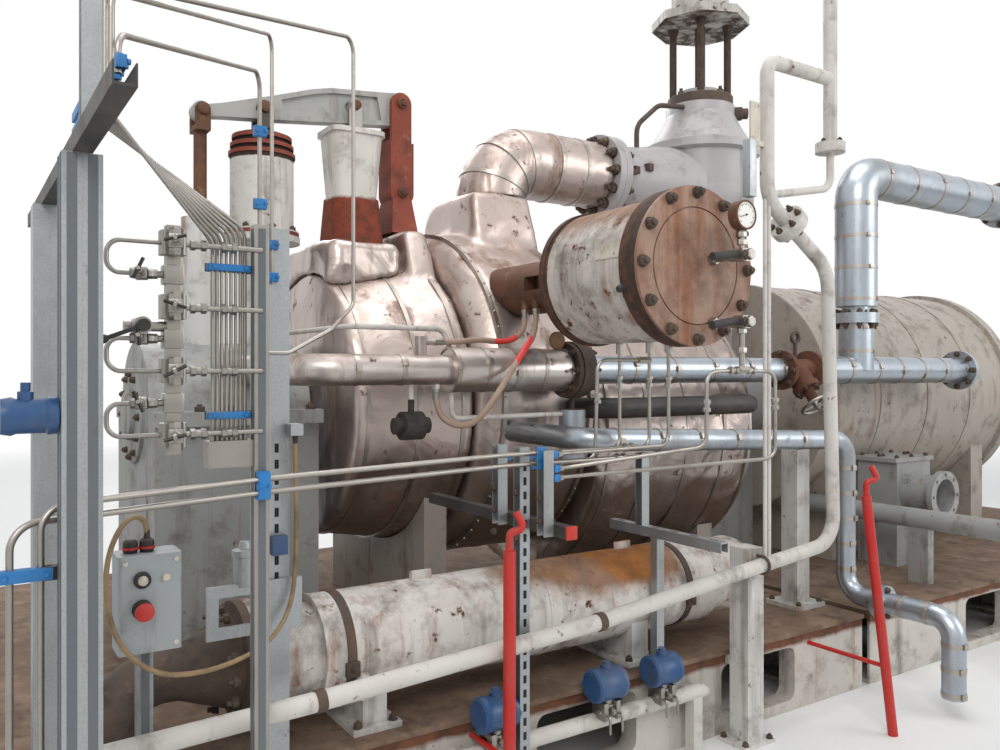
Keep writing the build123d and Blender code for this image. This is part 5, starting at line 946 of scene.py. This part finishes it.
SEATS = ((-1756, 1314), (-1614, 1298), (-1472, 1282), (-1764, 1266), (-1764, 1234), (-1622, 1264))
CLAMPS = (  # size, turn, places
    ((0.030, 0.030, 0.026), QUARTER, [(-2450, y, z) for y, z in SEATS]),
    ((0.036, 0.028, 0.078), STRAIGHT, [(-2481, -1728, 1300)]),
    ((0.036, 0.030, 0.078), STRAIGHT, [(-3471, -1807, 1288)]),
    ((0.112, 0.034, 0.030), STRAIGHT, [(-4050, -1960, 700), (-4050, -1960, 1150)]),
    ((0.034, 0.026, 0.026), QUARTER, [(-3945, y, 2140) for y in (-2490, -2420, -2350)]),
    ((0.116, 0.030, 0.022), QUARTER, [(-3945, -1966, 2150), (-3945, -1966, 2185)]),
    ((0.118, 0.032, 0.020), STRAIGHT, [(-3551, -1760, 1880), (-3551, -1760, 1480)]),
    ((0.036, 0.030, 0.030), STRAIGHT, [(-3470.7, -1775, 2060), (-3470.7, -1775, 2260)]),
    ((0.036, 0.026, 0.030), STRAIGHT, [(-3350, -1514, 1990), (-3350, -1514, 1890)]))
for size, turn, places in CLAMPS:
    for place in places:
        clamp(blue, mm(*place), size, turn)
for y, z in SEATS:
    hexagon(steel, mm(-2434, y, z), AX, 0.026, 0.020)
for z in (1150, 700):
    box(dark, mm(-3998, -1960, z), (0.03, 0.03, 0.03))
for z in (1880, 1480):
    box(dark, mm(-3535, -1744, z), (0.150, 0.010, 0.022))
for k in (0, 1):
    fitting(steel, mm(-4080 + 60 * k, -1960, 668), AZ, 0.016)
    fitting(steel, mm(-2120 + 40 * k, -1727.2, 1282 + 36 * k), AX, 0.016)
for k in range(8):
    hexagon(steel, mm(-3595 + 12.5 * k, -1760, 1412), AZ, 0.0118, 0.022)
for z in (1435, 1600, 1765, 1930):
    needle_valve(steel, dark, mm(-3705, -1838, z), (-0.25, -1, 0), AZ, 0.016, 0.036)
    fitting(steel, manifold(-3640, z), AX, 0.014)
    fitting(steel, manifold(-3560, z), AX, 0.014)
for z, z1 in ((1518, 1435), (1683, 1600), (1848, 1930)):
    box(steel, manifold(-3705, z), (0.05, 0.046, 0.05), bevel=0.004)
    needle_valve(steel, dark, manifold(-3780, z), (-0.3, -1, 0.1), AX, 0.012, 0.030)
    fitting(steel, manifold(-3735, z), AX, 0.012)
    tube(steel, [manifold(-3798, z), manifold(-3862, z), manifold(-3862, z1), manifold(-3722, z1)],
         0.006, 0.035)
piece("tube_fittings", steel, "steel")
piece("valve_bars", dark, "fitting")
piece("tube_clamps", blue, "clamp")

# ---- push-button box
grip, red, pale = bmesh.new(), bmesh.new(), bmesh.new()
disc(grip, mm(-3760, -1695, 1046), -AY, 0.022, 0.008, 0.005, 0.004, 24)
lathe(grip, mm(-3760, -1695, 968), -AY, [(0, 0.026), (0.010, 0.026), (0.012, 0.016), (0.026, 0.016)], 24)
lathe(red, mm(-3760, -1721, 968), -AY, [(0, 0.020), (0.010, 0.025), (0.018, 0.023), (0.023, 0.015)], 28)
for x in (-3780, -3738):
    lathe(grip, mm(x, -1640, 1110), AZ, [(0, 0.017), (0.010, 0.020), (0.030, 0.019), (0.036, 0.012)], 20)
    collar(red, mm(x, -1640, 1120), AZ, 0.016, 0.0225, 0.006, 24)
box(red, mm(-2440, -1848, 1056.5), (0.046, 0.008, 0.046), bevel=0.002)
lathe(pale, mm(-3760, -1707, 1046), -AY, [(0, 0.013), (0.008, 0.012), (0.012, 0.007)], 20)
for x in (-3802, -3674):
    for z in (868, 1092):
        disc(pale, mm(x, -1694, z), -AY, 0.007, 0.004, 0.002, 0.002, 16)
disc(pale, mm(-3700, -1694, 1046), -AY, 0.012, 0.004, 0.004, 0.006, 20)
piece("box_fittings", grip, "rubber")
piece("red_parts", red, "red")
piece("box_panels", pale, "cream")

# ---- transmitters
shell, steel = bmesh.new(), bmesh.new()
HALF = [(-72, 40), (-72, 54), (-66, 62), (-50, 64.5), (-46, 62)]
HOUSING = [(h / 1000, r / 1000) for h, r in HALF + [(-h, r) for h, r in reversed(HALF)]]
for x in (-2570, -2062, -1769):
    lathe(shell, mm(x, -1580, 395), AX, HOUSING, 40)
    for a in spread(8):
        for end in (x - 68, x + 68):
            box(shell, mm(end, -1580 + 50 * math.cos(a), 395 + 50 * math.sin(a)), (0.012, 0.014, 0.014),
                Matrix.Rotation(a, 3, "X"), 0.002)
    lathe(shell, mm(x, -1580, 452), AZ, [(0, 0.022), (0.018, 0.022), (0.020, 0.015), (0.03, 0.015)], 20)
    lathe(steel, mm(x, -1575, 345), -AZ, [(0, 0.030), (0.02, 0.030), (0.022, 0.036), (0.052, 0.036)], 24)
    for side in (-1, 1):
        cheek = x + side * 30
        box(steel, mm(cheek, -1580, 300), (0.022, 0.08, 0.07), bevel=0.004)
        hexagon(steel, mm(cheek + side * 11, -1600, 300), AX * side, 0.018, 0.014)
        tube(steel, [mm(cheek, y, z) for y, z in ((-1615, 290), (-1640, 290), (-1640, 225))], 0.005, 0.02)
    bolt(steel, mm(x, -1618, 300), -AY, 0.012)
piece("transmitter_housings", shell, "blue")
piece("transmitter_bodies", steel, "steel")

# ---- vessel, posts, struts
weld = bmesh.new()
for x, r in ((-3136, 0.185), (-2215, 0.185), (-1294, 0.185), (-1050, 0.168)):
    strap(weld, vessel(x), AX, r, 0.012, 0.0025, 0.006)
for x in (-2700, -1700):
    box(weld, mm(x, -1260, 828), (0.09, 0.014, 0.05), bevel=0.006)
lathe(weld, mm(-3010, -1410, 560), (0, -0.9, -0.45),
      [(0, 0.03), (0.05, 0.03), (0.052, 0.045), (0.07, 0.045)], 24)
piece("vessel_trim", weld, "vessel")
hoops = bmesh.new()
for x in (-1465, -3053):
    strap(hoops, vessel(x), AX, 0.185, 0.032, 0.005, 0.004)
    box(hoops, mm(x, -1448, 600), (0.05, 0.016, 0.05), bevel=0.003)
    bolt(hoops, mm(x, -1455, 600), -AY, 0.012)
piece("vessel_hoops", hoops, "cast")
# Grey strips along the struts' channel mouths and dark slot marks: painted shade in the hollows.
GROOVES = (  # X, Y, lower end, upper end, side of the strut
    (-3987.3, -2017.5, 30, 2078, -AX), (-3987.3, -1975.5, 30, 2078, -AX), (-3966, -2037.8, 30, 2078, -AY),
    (-3924, -2037.8, 30, 2078, -AY), (-3470.7, -1795.8, 30, 1990, -AY), (-3491.6, -1775, 30, 1990, -AX),
    (-3738, -1621, 30, 840, -AY))
SLOTS = (
    (-2481.3, -1634.8, 60, 1300, -AY), (-2460.7, -1614, 700, 1180, AX), (-3374.3, -1485, 960, 1380, -AX),
    (-3333, -1505.8, 960, 1380, -AY))
grooves, slots = bmesh.new(), bmesh.new()
for x, y, z0, z1, face in GROOVES:
    box(grooves, mm(x, y, (z0 + z1) / 2), ((z1 - z0) / 1000, 0.021, 0.0008), turned(face))
for x, y, z0, z1, face in SLOTS:
    for z in range(z0, z1, 50):
        box(slots, mm(x, y, z), (0.028, 0.013, 0.0008), turned(face))
piece("strut_grooves", grooves, "groove")
piece("strut_slots", slots, "slot")
feet = bmesh.new()
for x, y, z, width in ((-3945, -1996, 0, 0.15), (-3945, -1297, 370, 0.15), (-3470.7, -1775, 0, 0.11),
                       (-2481.3, -1614, 0, 0.11)):
    box(feet, mm(x, y, z + 5), (width, width, 0.01), bevel=0.002)
    for sx in (-1, 1):
        for sy in (-1, 1):
            bolt(feet, mm(x, y, z + 10) + Vector((sx, sy, 0)) * width * 0.38, AZ, 0.012)
piece("strut_feet", feet, "strut")

# ---- line, joint and pipe trim
bits = bmesh.new()
line_z = 775.6  # the line's height at its post
tube(bits, [mm(-1290, y, line_z + up) for y, up in ((-1650, 37), (-1727, 37), (-1727, -37), (-1650, -37))],
     0.006, 0.035)
for x, z in ((-3263, 618), (-2184, 679)):
    strap(bits, line(x, z), (1, 0, 0.05), 0.0302, 0.03, 0.004, 0.004, 24)
for y in (-1756, -1614, -1472):
    for z in (1010, 1090, 1170):
        bolt(bits, mm(-2501.9, y, z), -AX, 0.012)
sleeve = bmesh.new()
collar(sleeve, mm(-1774, -1000, 1182), AZ, 0.05, 0.0615, 0.24, 40)
for z in (1200, 1300, 1405):
    strap(sleeve, mm(-1774, -1000, z), AZ, 0.0615, 0.012, 0.002, 0.004, 40)
piece("pot_sleeve", sleeve, "galv")
plug = bmesh.new()
lathe(plug, mm(-1878, -1012, 1738), -AY, [(0, 0.036), (0.004, 0.04), (0.018, 0.04), (0.022, 0.036)], 32)
piece("brown_disc", plug, "wood")
strap(bits, front_pipe(-1774), AX, 0.125, 0.05, 0.006, 0.01, 48)
tube(bits, [mm(-183, -1000, 1666), mm(-183, -1000, 1760)], 0.011)
collar(bits, mm(-183, -1009, 1790), AY, 0.022, 0.036, 0.018, 28)
piece("pipe_trim", bits, "cast")
pale = bmesh.new()
tube(pale, [mm(-2850, -200, 1655), mm(-2850, -200, 1778), mm(-2850, -950, 1778), mm(-2430, -950, 1778),
            mm(-2412, -985, 1690)], 0.011, 0.04, 16)
tube(pale, [mm(-2415, -1000, 1512), mm(-2415, -1000, 1400), mm(-1832, -1000, 1404)], 0.011, 0.035, 16)
piece("pale_tubes", pale, "line")
plate = bmesh.new()
box(plate, line(-1340, 2625), (0.06, 0.010, 0.22), bevel=0.003)
box(plate, line(-1318, 2560), (0.11, 0.022, 0.022), bevel=0.003)
piece("line_plate", plate, "cream")
galv = bmesh.new()
box(galv, line(-1372, 2450), (0.041, 0.041, 0.24), bevel=0.002)
lathe(galv, mm(-3430, -1500, 945), AZ,
      [(0, 0.030), (0.02, 0.034), (0.09, 0.034), (0.092, 0.039), (0.11, 0.039), (0.115, 0.020),
       (0.135, 0.016)], 28)
box(galv, mm(-3385, -1500, 1010), (0.05, 0.02, 0.03), bevel=0.002)
piece("galvanised_bits", galv, "strut")
tx = bmesh.new()
lathe(tx, mm(-4100, -1996, 1502), AX,
      [(0, 0.030), (0, 0.038), (0.02, 0.042), (0.03, 0.038), (0.085, 0.038), (0.09, 0.042),
       (0.11, 0.040)], 32)
lathe(tx, mm(-4052, -1996, 1535), AZ, [(0, 0.016), (0.02, 0.016), (0.022, 0.01), (0.04, 0.01)], 16)
box(tx, mm(-3330, -1518, 1060), (0.05, 0.03, 0.06), bevel=0.004)
piece("side_transmitter", tx, "blue")

# ---- handles on the moving bodies
wheel = bmesh.new()
gate = front_pipe(-183)
centre = gate + stem * 0.238
rim = [centre + turned(stem) @ polar(0.085, a) for a in spread(40)]
sweep(wheel, rim + rim[:1], [0.009] * 41, caps=False)
for a in spread(3):
    out = turned(stem) @ polar(1, a + 0.4)
    tube(wheel, [centre + out * 0.018, centre + out * 0.082], 0.006, seg=10)
lathe(wheel, gate + stem * 0.2104, stem, [(0, 0.021), (0.045, 0.021), (0.05, 0.012), (0.058, 0.012)], 24)
piece("gate_wheel", wheel, "steel", "gate_handwheel", "gate_handwheel")
lever = bmesh.new()
reach = Vector((-math.cos(math.radians(22)), 0, -math.sin(math.radians(22))))
hub = mm(-3786, -1850.4, 1714)
root = hub - AY * 0.006
lathe(lever, hub, -AY, [(0, 0.016), (0.012, 0.016)], 24)
tube(lever, [root, root + reach * 0.095], 0.0055, seg=10)
sweep(lever, [root + reach * t for t in (0.088, 0.094, 0.14, 0.19, 0.2, 0.204)],
      [0.007, 0.0108, 0.0095, 0.0115, 0.010, 0.005], 14)
piece("lever_grip", lever, "rubber", "valve_handle", "valve_handle")

# ---- compressor trim
seams = bmesh.new()
for x, width in ((470, 0.07), (1010, 0.03), (1560, 0.03), (2110, 0.03)):
    strap(seams, barrel(x), AX, 0.770, width, 0.006, 0.01, 96)
strap(seams, barrel(2650), AX, 0.770, 0.09, 0.030, 0.02, 96)
piece("compressor_seams", seams, "beige")
